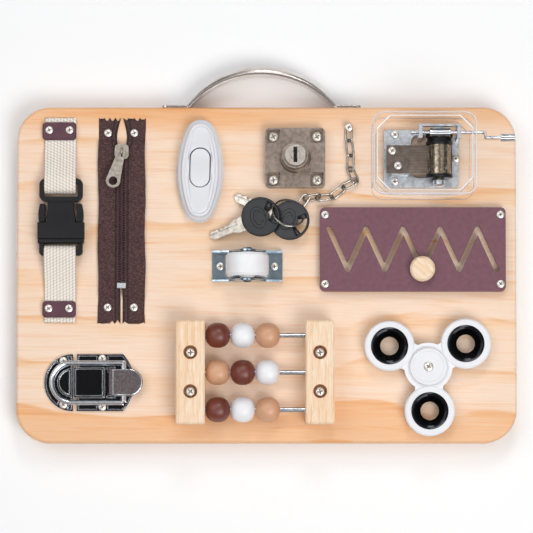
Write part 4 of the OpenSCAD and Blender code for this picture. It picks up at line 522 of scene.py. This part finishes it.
def webbing(path):
    path = stepped(smoothed(path), strap["step"])
    half, across, edgeWide = strap["width"] / 2, strap["across"], strap["edge"]
    t = strap["thick"] / 2 - strap["skin"]
    loops, light = [], []
    for i, (y, z) in enumerate(path):
        a, b = path[max(0, i - 1)], path[min(len(path) - 1, i + 1)]
        long = math.dist(a, b)
        ny, nz = (b[1] - a[1]) / long, -(b[0] - a[0]) / long
        end = max(0, 1 - min(i, len(path) - 1 - i) / strap["frayed"])
        loop = []
        for side in (1, -1):
            for k in range(across + 1):
                x = side * half * (2 * k / across - 1)
                edge = max(0.0, abs(x) - half + edgeWide) / edgeWide
                raised = floats(x + strap["shift"], i * strap["step"]) * (1 - 0.5 * edge)
                bulge = t * math.sqrt(max(0.0, 1 - strap["thin"] * edge ** 2))
                out = side * (bulge + strap["lift"] * (raised - strap["mid"]))
                loose = strap["fray"] * end * (noise.noise(Vector((x * 1.3, i * 0.02, side))) + 0.2)
                sway = noise.noise(Vector((y * 0.06, 1 if x > 0 else 5, 0)))
                wander = strap["wander"] * sway * (abs(x) / half) ** 2
                pulled = loose * (1 if i < strap["frayed"] else -1)
                loop.append((strap["x"] + x * (1 + wander / half), y + ny * out + pulled, z + nz * out))
                # painted light and shade: the yarn floats are lighter where they stand up, darker in the
                # crevices between them and toward the strap's edges
                light.append(min(1.0, max(0.0, raised)))
        loops.append(loop)
    return loft(loops), light


upper, upperLight = webbing(strap["upper"])
shade(newPiece("webbingUpper", upper, "cottonWebbing", "base", ["strap_upper"]), upperLight)
lower, lowerLight = webbing(strap["lower"])
webbingLower = newPiece("webbingLower", lower, "cottonWebbing", "base", ["strap_lower"])
shade(webbingLower, lowerLight)
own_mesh(webbingLower)

tab = {"edge": 2.2, "seat": 19.6, "places": [(-124.4, 86.2, 20.3, 10.7), (-124.2, -21.0, 20.1, 9.9)],
       "profile": [(0.25, 0), (0.0, 0.3), (0.0, 1.05), (0.12, 1.4), (0.4, 1.66), (0.85, 1.78), (1.6, 1.8),
                   (2.6, 1.77)]}


def pressedTab(x, y, w, l):  # die-cut leather with skived, burnished edges
    shape = loft([roundedLoop(w - 2 * inset, l - 2 * inset, max(0.5, tab["edge"] - inset), z, 7)
                  for inset, z in tab["profile"]])
    return placed(shape, (x, y, tab["seat"]))


newPiece("leatherTabs", joined([pressedTab(*place) for place in tab["places"]]), "plumLeather", "base",
         ["strap_tabs"])
print("strap and tabs are on")


# Zip tapes: pinked ends, corded edges at the coil and a row of stitches beside it

zipTape = {"x": -86.9, "half": 14.1, "top": 94.5, "low": -29.6, "thick": 0.7, "lift": 1.6, "tooth": 2.4,
           "gap": 0.65, "openFrom": 74.7, "openWide": 2.6, "slider": 73.7, "cord": 0.5, "stitch": 3.1,
           "rows": 310, "across": 40, "pinked": 5, "stitchLong": 2.3, "wave": 0.32, "waveLong": 7.3,
           "cordAt": 0.75, "cordWide": 0.42, "seamWide": 0.26, "seamDeep": 0.22, "ruck": 0.12, "skin": 0.08,
           "rampLow": (13.5, 19), "rampTop": (5, 9)}


def innerEdge(y):
    u = (y - zipTape["openFrom"]) / (zipTape["top"] - zipTape["openFrom"])
    opened = zipTape["openWide"] * math.sin(math.pi * min(1, u) ** 0.8) * (1 - 0.25 * u) if u > 0 else 0
    return zipTape["gap"] + opened


def tapeHeight(y):  # flat under the screws, lifted between them
    def ease(a, b):
        s = min(1, max(0, (y - a) / (b - a)))
        return s * s * (3 - 2 * s)
    rise = ease(*[zipTape["low"] + d for d in zipTape["rampLow"]])
    rise -= ease(*[zipTape["slider"] + d for d in zipTape["rampTop"]])
    return boardTop + zipTape["thick"] / 2 + zipTape["lift"] * rise


def tape(side):
    rows, across, pinked = zipTape["rows"], zipTape["across"], zipTape["pinked"]
    loops, light = [], []
    pink = zipTape["half"] / 4
    for i in range(rows + 1):
        loop = []
        for face in (1, -1):
            for k in range(across + 1):
                s = k / across if face > 0 else 1 - k / across
                level = zipTape["low"] + (zipTape["top"] - zipTape["low"]) * i / rows
                sway = noise.noise(Vector((level * 0.11, side * 3.0, 0)))
                wave = zipTape["wave"] * math.sin(level / zipTape["waveLong"] + side) + 0.25 * sway
                inner, outer = innerEdge(level), zipTape["half"] + wave
                x = inner + (outer - inner) * s
                nick = zipTape["tooth"] * (1 - abs(2 * (((zipTape["half"] * (1 - s)) / pink) % 1) - 1))
                y = level
                if level > zipTape["top"] - pinked:
                    y -= nick * ((level - zipTape["top"] + pinked) / pinked) ** 1.5
                if level < zipTape["low"] + pinked:
                    y += nick * ((zipTape["low"] + pinked - level) / pinked) ** 1.5
                cord = math.exp(-((x - inner - zipTape["cordAt"]) / zipTape["cordWide"]) ** 2)
                seam = math.exp(-((x - inner - zipTape["stitch"]) / zipTape["seamWide"]) ** 2)
                dash = 0.5 + 0.5 * math.cos(2 * math.pi * y / zipTape["stitchLong"])
                ruck = zipTape["ruck"] * noise.noise(Vector((x * 0.22, y * 0.16, side)))
                tight = 1 if level > zipTape["openFrom"] else 0.5
                rise = zipTape["cord"] * cord * tight - zipTape["seamDeep"] * seam * dash + ruck
                z = tapeHeight(level) + face * (zipTape["thick"] / 2 - zipTape["skin"])
                z += rise if face > 0 else 0
                loop.append((zipTape["x"] + side * x, y, max(z, boardTop + 0.02)))
                # painted shade: the top face is darker in the stitch groove and along the cord; the underside
                # takes a flat mid tone
                light.append(max(0.0, 1 - 0.9 * seam - 0.45 * cord) if face > 0 else 0.5)
        loops.append(loop)
    points, faces = loft(loops)
    return (points, [tuple(reversed(f)) for f in faces] if side > 0 else faces), light


leftTape, leftLight = tape(-1)
rightTape, rightLight = tape(1)
shade(newPiece("zipTapes", joined([leftTape, rightTape]), "polyesterTape", "base", ["zip_tapes"]),
      leftLight + rightLight)
print("zip tapes are on")


# Switch cover: moulded, with a sloped brim, a ridge and a groove round the flat that holds the rocker

switch = {"x": -39.8, "y": 62.0, "turn": -1.2, "width": 27.9, "length": 62.0, "rocker": (11.6, 23.0),
          "rockerUp": 1.6, "gap": 0.45, "endShare": 0.32,
          "brim": [(0.75, 4.5), (0.62, 5.0), (0.62, 7.2), (0.75, 7.7), (1.1, 8.15), (2.3, 8.75), (2.5, 8.85)],
          "ridge": [(2.62, 9.1), (2.72, 9.9), (2.95, 10.45), (3.4, 10.85), (3.95, 11.0), (4.5, 10.85),
                    (4.95, 10.5), (5.2, 10.15), (5.35, 9.95), (5.55, 9.95), (5.75, 10.2), (6.1, 10.4),
                    (6.6, 10.45)],
          "well": [(0.9, 10.45), (0.35, 10.4), (0.1, 10.15), (0.0, 9.6), (0.0, 6.2)]}


def ovalLoop(w, l, z, side=20, end=22):  # two wide arcs that run into a smaller one at each end
    endR = switch["endShare"] * w
    endY = l / 2 - endR
    sideR = (w * w / 4 + endY * endY - endR * endR) / (w - 2 * endR)
    lean = math.atan2(endY, sideR - w / 2)
    half = [(w / 2 - sideR + sideR * math.cos(a), sideR * math.sin(a), z)
            for a in (lean * (2 * i / side - 1) for i in range(side))]
    half += [(endR * math.cos(a), endY + endR * math.sin(a), z)
             for a in (lean + (math.pi - 2 * lean) * i / end for i in range(end))]
    return half + [(-x, -y, z) for x, y, z in half]


def slotLoop(w, l, z, up, side=20, end=22):  # straight sides and half-round ends, with as many points
    run = (l - w) / 2
    half = [(w / 2, run * (2 * i / side - 1), z) for i in range(side)]
    half += [(w / 2 * math.cos(math.pi * i / end), run + w / 2 * math.sin(math.pi * i / end), z)
             for i in range(end)]
    return [(x, y + up, z) for x, y, z in half + [(-x, -y, z) for x, y, z in half]]


loops = [ovalLoop(switch["width"] - 2 * inset, switch["length"] - 2 * inset, z) for inset, z in
         switch["brim"] + switch["ridge"]]
opening = [side + 2 * switch["gap"] for side in switch["rocker"]]
loops += [slotLoop(opening[0] + 2 * inset, opening[1] + 2 * inset, z, switch["rockerUp"])
          for inset, z in switch["well"]]
cover = placed(loft(loops, caps=False), (switch["x"], switch["y"], boardTop), math.radians(switch["turn"]))
newPiece("switchCover", cover, "whitePolycarbonate", "base", ["switch_cover"])
print("switch cover is on")


# Screws: domed heads with a cross recess, shanks and points, put where the plain ones are

# the pair of shade levels is painted shade: a flat amount on the head's sides and the shank, and more in the
# cross recess, by its depth
screw = {"arm": 0.12, "reach": 0.6, "deep": 0.3, "rings": 16, "spokes": 64, "raise": 0.7, "wider": 0.15,
         "foot": (0.9, -0.02), "rim": ((0.985, 0.0), (1.0, 0.2), (0.992, 0.42)), "flat": 0.5,
         "shadeLevels": (0.25, 0.8), "armSoft": 0.09, "endSoft": 0.12, "flare": 1.25, "narrow": 0.5,
         "heart": (0.13, 0.17, 0.1), "heartDeep": 0.6, "tip": 0.2, "neck": -0.05, "dome": (0.97, 0.985),
         "kinds": (("small_screws", "panScrews", 1.0, 1.3), ("large_screws", "woodScrews", 1.3, 1.5))}


def recess(x, y, r):  # depth of the cross at a place on the head
    near, far = min(abs(x), abs(y)), max(abs(x), abs(y))
    wide = screw["arm"] * r * (screw["flare"] - screw["narrow"] * far / r)
    inside = min(1, max(0, (wide - near) / (screw["armSoft"] * r)))
    inside *= min(1, max(0, (screw["reach"] * r - far) / (screw["endSoft"] * r)))
    spot, width, soft = [share * r for share in screw["heart"]]
    corner = min(1, max(0, (width - math.hypot(near - spot, far - spot)) / soft))
    return max(inside, screw["heartDeep"] * corner)


def screwShape(r, high, deep, shank, turn):
    loops, grime = [], []
    for z, share in ((-deep, screw["tip"]), (-deep + shank, 1), (screw["neck"], 1)):
        loops.append(ringLoop(shank * share, z, screw["spokes"]))
    loops.append(ringLoop(r * screw["foot"][0], screw["foot"][1], screw["spokes"]))
    for share, z in screw["rim"]:
        loops.append(ringLoop(r * share, z * high, screw["spokes"]))
    for i in range(screw["rings"] + 1):
        ring = r * screw["dome"][0] * (1 - i / screw["rings"] * screw["dome"][1])
        dome = high * (screw["flat"] + (1 - screw["flat"]) * (1 - (ring / r) ** 2))
        cross = [recess(x, y, r) for x, y, _ in ringLoop(ring, 0, screw["spokes"])]
        loops.append([(x, y, dome - screw["deep"] * high * deepness) for (x, y, _), deepness in
                      zip(ringLoop(ring, 0, screw["spokes"]), cross)])
        # painted shade in the cross recess, darker where it is deeper
        grime += [screw["shadeLevels"][1] * deepness for deepness in cross]
    plain = len(loops) * screw["spokes"] - len(grime)
    return placed(loft(loops), (0, 0, 0), turn), [screw["shadeLevels"][0]] * plain + grime


def islands(node):  # the lowest and highest corners of each separate solid, in mm
    plain = bmesh.new()
    plain.from_mesh(nodes[node].data)
    bmesh.ops.remove_doubles(plain, verts=plain.verts, dist=0.001 * mm)
    left, boxes = set(plain.verts), []
    while left:
        edge, found = [left.pop()], []
        while edge:
            vert = edge.pop()
            found.append(vert.co / mm)
            for link in vert.link_edges:
                other = link.other_vert(vert)
                if other in left:
                    left.remove(other)
                    edge.append(other)
        boxes.append((Vector([min(p[i] for p in found) for i in range(3)]),
                      Vector([max(p[i] for p in found) for i in range(3)])))
    plain.free()
    return boxes


def inPosts(place):  # whether a screw stands in a counterbore of the posts
    low, top = [Vector(v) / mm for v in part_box("abacus_posts")]
    return low.x < place.x < top.x and low.y < place.y < top.y


for node, name, shank, high in screw["kinds"]:
    made, paintedShades = [], []
    for low, top in islands(node):
        middle, size = (low + top) / 2, top - low
        turn = random.uniform(0, math.pi / 2)
        bored = inPosts(middle)
        lift = screw["raise"] if bored else 0
        r = size.x / 2 * (1 + screw["wider"] * bored)
        shape, grime = screwShape(r, high, max(size.z, size.y) - high, shank, turn)
        paintedShades += grime
        if size.z >= size.y:
            made.append(placed(shape, (middle.x, middle.y, top.z - high + lift)))
        else:
            made.append(placed(shape, (middle.x, top.y - high, middle.z),
                               tip=Matrix.Rotation(-math.pi / 2, 3, "X")))
    shade(newPiece(name, joined(made), "screwNickel", "base", [node]), paintedShades)
print("screws are in")


# Scorched rims of the counterbores in the posts

rim = {"proud": 0.04, "steps": [(4.2, -0.1), (4.15, 0), (4.0, 0), (3.55, -0.8), (3.3, -3.3)]}
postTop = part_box("abacus_posts")[1][2] / mm
rims = []
for low, top in islands("large_screws"):
    middle = (low + top) / 2
    if inPosts(middle):
        z = postTop + rim["proud"]
        rims.append(loft([ringLoop(r, z + up, 48, middle) for r, up in rim["steps"]], caps=False))
newPiece("scorchedRims", joined(rims), "scorchedBeech", "base")
print("scorched rims are in")


# Beads: turned, a little flat at their ends, with a countersunk hole

bead = {"round": 7.55, "half": 7.28, "hole": 1.75, "lip": 0.2, "sunk": 0.5, "square": 2.35, "steps": 26,
        "colours": {"brown": ["top_left", "middle_middle", "low_left"],
                    "white": ["top_middle", "middle_right", "low_middle"],
                    "tan": ["top_right", "middle_left", "low_right"]}}


def turnedBead(middle):
    loops = []
    for i in range(bead["steps"] + 1):
        a = math.pi * (i / bead["steps"] - 0.5)
        x = bead["half"] * math.copysign(abs(math.sin(a)) ** (2 / bead["square"]), math.sin(a))
        r = max(bead["hole"] + bead["lip"], bead["round"] * abs(math.cos(a)) ** (2 / bead["square"]))
        loops.append([(middle.x + x, middle.y + p, middle.z + q) for p, q, _ in ringLoop(r, 0, 48)])
    for end in (0, -1):
        sign = 1 if end else -1
        inner = [(middle.x + sign * (bead["half"] - bead["sunk"]), middle.y + p, middle.z + q)
                 for p, q, _ in ringLoop(bead["hole"], 0, 48)]
        loops.insert(len(loops) if end else 0, inner)
    return loft(loops)


for colour, places in bead["colours"].items():
    for place in places:
        low, top = [Vector(v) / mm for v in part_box("bead_" + place)]
        newPiece("turned_" + place, turnedBead((low + top) / 2), colour + "Lacquer", "bead_" + place,
                 ["bead_" + place])
print("beads are on")


# Clear case: moulded walls whose rounded rims catch the light, and dark lines beside them where they bend it,
# both painted into the walls as highlight and shade tones

case = {"corner": 7.0, "chamfer": 7.5, "inset": 2.5,
        "outside": [(0.9, 0.0, 0.0), (0.5, 0.0, 0.3), (0.0, 0.4, 0.95), (0.0, 0.9, 0.1), (0.0, 33.6, 0.06),
                    (0.05, 34.2, 0.55), (0.25, 34.9, 1.0), (0.6, 35.4, 0.95), (1.1, 35.75, 0.5),
                    (1.7, 35.8, 0.08)],
        "lid": [(-0.15, 35.8, 0.1), (0.0, 35.85, 0.78), (0.45, 35.6, 0.8), (0.6, 35.5, 0.34),
                (0.85, 35.45, 0.0), (1.3, 35.45, 0.0)],
        "inside": [(-0.2, 34.0, 0.5), (0.0, 33.7, 0.12), (0.0, 2.6, 0.06), (0.3, 2.0, 0.6), (0.7, 1.9, 0.08)]}


def chamferLoop(w, l, cut, z, steps=6):  # a rectangle with straight cut corners
    loop = []
    for turn, (sx, sy) in enumerate(((1, 1), (-1, 1), (-1, -1), (1, -1))):
        for i in range(steps + 1):
            share = i / steps if turn % 2 == 0 else 1 - i / steps
            loop.append((sx * (w / 2 - cut * share), sy * (l / 2 - cut * (1 - share)), z))
    return loop


low, top = [Vector(v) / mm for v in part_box("music_case")]
size, middle = top - low, (low + top) / 2


def chamfered(steps):  # loops of the case's inner outline with how much each catches the light
    return [(chamferLoop(size.x - 2 * (case["inset"] + inset), size.y - 2 * (case["inset"] + inset),
                         case["chamfer"], z), light) for inset, z, light in steps]


outer = [(roundedLoop(size.x - 2 * inset, size.y - 2 * inset, case["corner"] - inset, z), light)
         for inset, z, light in case["outside"]] + chamfered(case["lid"])
inner = chamfered(case["inside"])
points, faces = loft([loop for loop, _ in outer], caps=False)
faces.append(tuple(range(len(points) - len(outer[-1][0]), len(points))))
walls = joined([(points, faces), loft([loop for loop, _ in inner], caps=False)])
clearCase = newPiece("clearCase", placed(walls, (middle.x, middle.y, low.z)), "clearAcrylic", "base",
                     ["music_case"], smooth=False)
shade(clearCase, [light for loop, light in outer + inner for _ in loop])
print("clear case is on")


# Polished edge that runs round the lever's tongue

leverEdge = {"thick": 0.55, "in": 0.62, "low": 0.35, "from": 3.4, "points": 26}
low, top = [Vector(v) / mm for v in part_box("latch_lever")]
halfW = (top.y - low.y) / 2 - leverEdge["in"]
midY, roundX = (low.y + top.y) / 2, top.x - leverEdge["in"] - halfW
fromX, edgeZ = low.x + leverEdge["from"], top.z - leverEdge["low"]
path = [(fromX, midY + halfW, edgeZ)]
path += [(roundX + halfW * math.cos(a), midY + halfW * math.sin(a), edgeZ)
         for a in (math.pi / 2 - math.pi * i / leverEdge["points"] for i in range(leverEdge["points"] + 1))]
path += [(fromX, midY - halfW, edgeZ)]


def tube(path, r, closed=True, sides=14):  # a round wire along a path that lies nearly flat
    loops = []
    for i, p in enumerate(path):
        a = path[i - 1] if closed else path[max(0, i - 1)]
        b = path[(i + 1) % len(path)] if closed else path[min(len(path) - 1, i + 1)]
        along = (Vector(b) - Vector(a)).normalized()
        side = along.cross(Vector((0, 0, 1))).normalized()
        rise = side.cross(along)
        loops.append([tuple(Vector(p) + r * (math.cos(t) * side + math.sin(t) * rise))
                      for t in (2 * math.pi * k / sides for k in range(sides))])
    return loft(loops + loops[:1] if closed else loops, caps=not closed)


newPiece("leverEdge", tube(path, leverEdge["thick"]), "chromePlate", "latch_lever")
print("latch edge is on")


# Keyway: a black solid set into the plug's slot as painted shade, where the slot is deep and shaded

keywayShade = {"outline": [(-1.05, -4.3), (1.05, -4.3), (1.05, -1.6), (0.55, -1.1), (0.55, 0.9), (1.05, 1.5),
                      (1.05, 4.3), (-1.05, 4.3), (-1.05, 2.6), (-0.4, 2.1), (-0.4, -2.1), (-1.05, -2.6)],
          "under": 0.35, "deep": 1.2}
low, top = [Vector(v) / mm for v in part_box("lock_plug")]
middle = (low + top) / 2
shadeFill = loft([[(x, y, z) for x, y in keywayShade["outline"]] for z in (-keywayShade["deep"], 0)])
# painted shade: the black solid darkens the slot where only shade falls
newPiece("keywayShade", placed(shadeFill, (middle.x, middle.y, top.z - keywayShade["under"])), "blackAcetal", "lock_plug",
         smooth=False)
print("keyway is in")


# Key heads: two raised ovals on each dished face

keyHead = {"ovals": [(6.6, 4.6), (4.4, 2.7)], "thick": 0.22, "out": 1.02, "shift": 1.5, "slot": (4.9, 10.5),
           "slotHalf": 47, "slotOpen": 28, "web": 1.0, "webSteps": 8, "flat": 0.85, "points": 56}


def slotWeb(side):  # closes an end of the wide slot, so that a short crescent is left
    inner, outer = keyHead["slot"]
    steps = keyHead["webSteps"]
    turns = [math.radians(keyHead["slotOpen"] + (keyHead["slotHalf"] - keyHead["slotOpen"]) * i / steps)
             for i in range(steps + 1)]
    line = [(r * side * math.sin(t), -r * math.cos(t))
            for r, ts in ((inner, turns), (outer, turns[::-1])) for t in ts]
    return loft([[(x, y, z) for x, y in line] for z in (-keyHead["web"], keyHead["web"])])


def headPlane(node):  # middle and tilt of a flat head, from its upward faces
    flat = [(p.area, p.normal) for p in nodes[node].data.polygons if p.normal.z > keyHead["flat"]]
    up = sum((area * normal for area, normal in flat), Vector()).normalized()
    low, top = [Vector(v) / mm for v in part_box(node)]
    return (low + top) / 2, up


for node, blade in (("key_front_head", "key_front_blade"), ("key_rear_head", "key_rear_blade")):
    middle, up = headPlane(node)
    low, top = [Vector(v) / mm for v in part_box(blade)]
    ahead = (low + top) / 2 - middle
    ahead = (ahead - up * ahead.dot(up)).normalized()
    turn = Matrix((up.cross(ahead), ahead, up)).transposed()
    around = [2 * math.pi * i / keyHead["points"] for i in range(keyHead["points"])]
    ovals = [tube([(a * math.cos(t), b * math.sin(t) + keyHead["shift"], keyHead["out"]) for t in around],
                  keyHead["thick"], sides=8) for a, b in keyHead["ovals"]]
    raised = placed(joined(ovals + [slotWeb(1), slotWeb(-1)]), middle, tip=turn)
    newPiece(node + "Relief", raised, "keyHeadPlastic", node.replace("_head", ""))
print("key heads are dressed")


# Barrel of the music box: a black cap at the near end and rows of pins

barrel = {"x": 103.3, "z": 30.4, "radius": 6.6, "low": 57.2, "long": 17.5, "margin": 0.8, "pins": 150,
          "pinR": 0.26, "pinShape": ((1, -0.3), (1, 0.22), (0.6, 0.34)),
          "cap": ((7.0, -0.35), (7.75, -0.25), (7.95, 0.0), (7.95, 1.7), (7.75, 1.95), (6.7, 2.1))}
capLoops = [[(barrel["x"] + p, barrel["low"] + y, barrel["z"] + q) for p, q, _ in ringLoop(r, 0, 64)]
            for r, y in barrel["cap"]]
newPiece("barrelCap", loft(capLoops), "blackAcetal", "music_barrel")
pins = []
drumFrom = barrel["low"] + barrel["cap"][-1][1]
for _ in range(barrel["pins"]):
    a = random.uniform(0, 2 * math.pi)
    y = drumFrom + random.uniform(barrel["margin"], barrel["long"] - barrel["margin"])
    spin = Matrix.Rotation(-a, 3, "Y") @ Matrix.Rotation(math.pi / 2, 3, "Y")
    pin = loft([ringLoop(barrel["pinR"] * share, up, 8) for share, up in barrel["pinShape"]])
    out = Vector((math.cos(a), 0, math.sin(a))) * barrel["radius"]
    pins.append(placed(pin, (barrel["x"] + out.x, y, barrel["z"] + out.z), tip=spin))
newPiece("barrelPins", joined(pins), "brightSteel", "music_barrel")
print("music box details are on")


# Finishes for the pieces whose shape the frame gives

wears = {
    "sealedPine": ["board"], "sandedBeech": ["abacus_posts"], "knobBeech": ["maze_knob"],
    "satinSteel": ["carry_handle"],
    "blackAcetal": ["buckle_female", "buckle_male", "buckle_prongs", "barrel_gear"],
    "nylonCoil": ["zip_coil"], "whiteMetal": ["zip_stop"],
    "agedNickel": ["zip_slider", "zip_pull"], "whitePolycarbonate": ["switch_base", "switch_rocker"],
    "antiqueNickel": ["lock_housing"], "turnedNickel": ["lock_plug", "lock_bolt"],
    "zincWire": ["chain_anchor_link", "key_chain", "key_ring"],
    "keyHeadPlastic": ["key_front_head", "key_rear_head"],
    "keyNickel": ["key_front_blade", "key_rear_blade"], "blueZinc": ["roller_bracket", "roller_pin"],
    "whiteNylon": ["roller_wheel"], "dieCastZinc": ["music_frame"],
    "groundSpringSteel": ["music_comb"], "washedBrass": ["music_barrel"],
    "brightSteel": ["music_crank", "crank_grip", "abacus_rods"], "plumLacquer": ["maze_plate"],
    "chromePlate": ["latch_catch_plate", "latch_base_plate", "latch_bail"],
    "brushedTongue": ["latch_lever"],
    "whiteAbs": ["spinner_body", "spinner_hub"], "blackChrome": ["spinner_rings"],
    "screwNickel": ["spinner_bearing"],
}
for finish, names in wears.items():
    dress(finishes[finish], *names)
print("finishes are on")
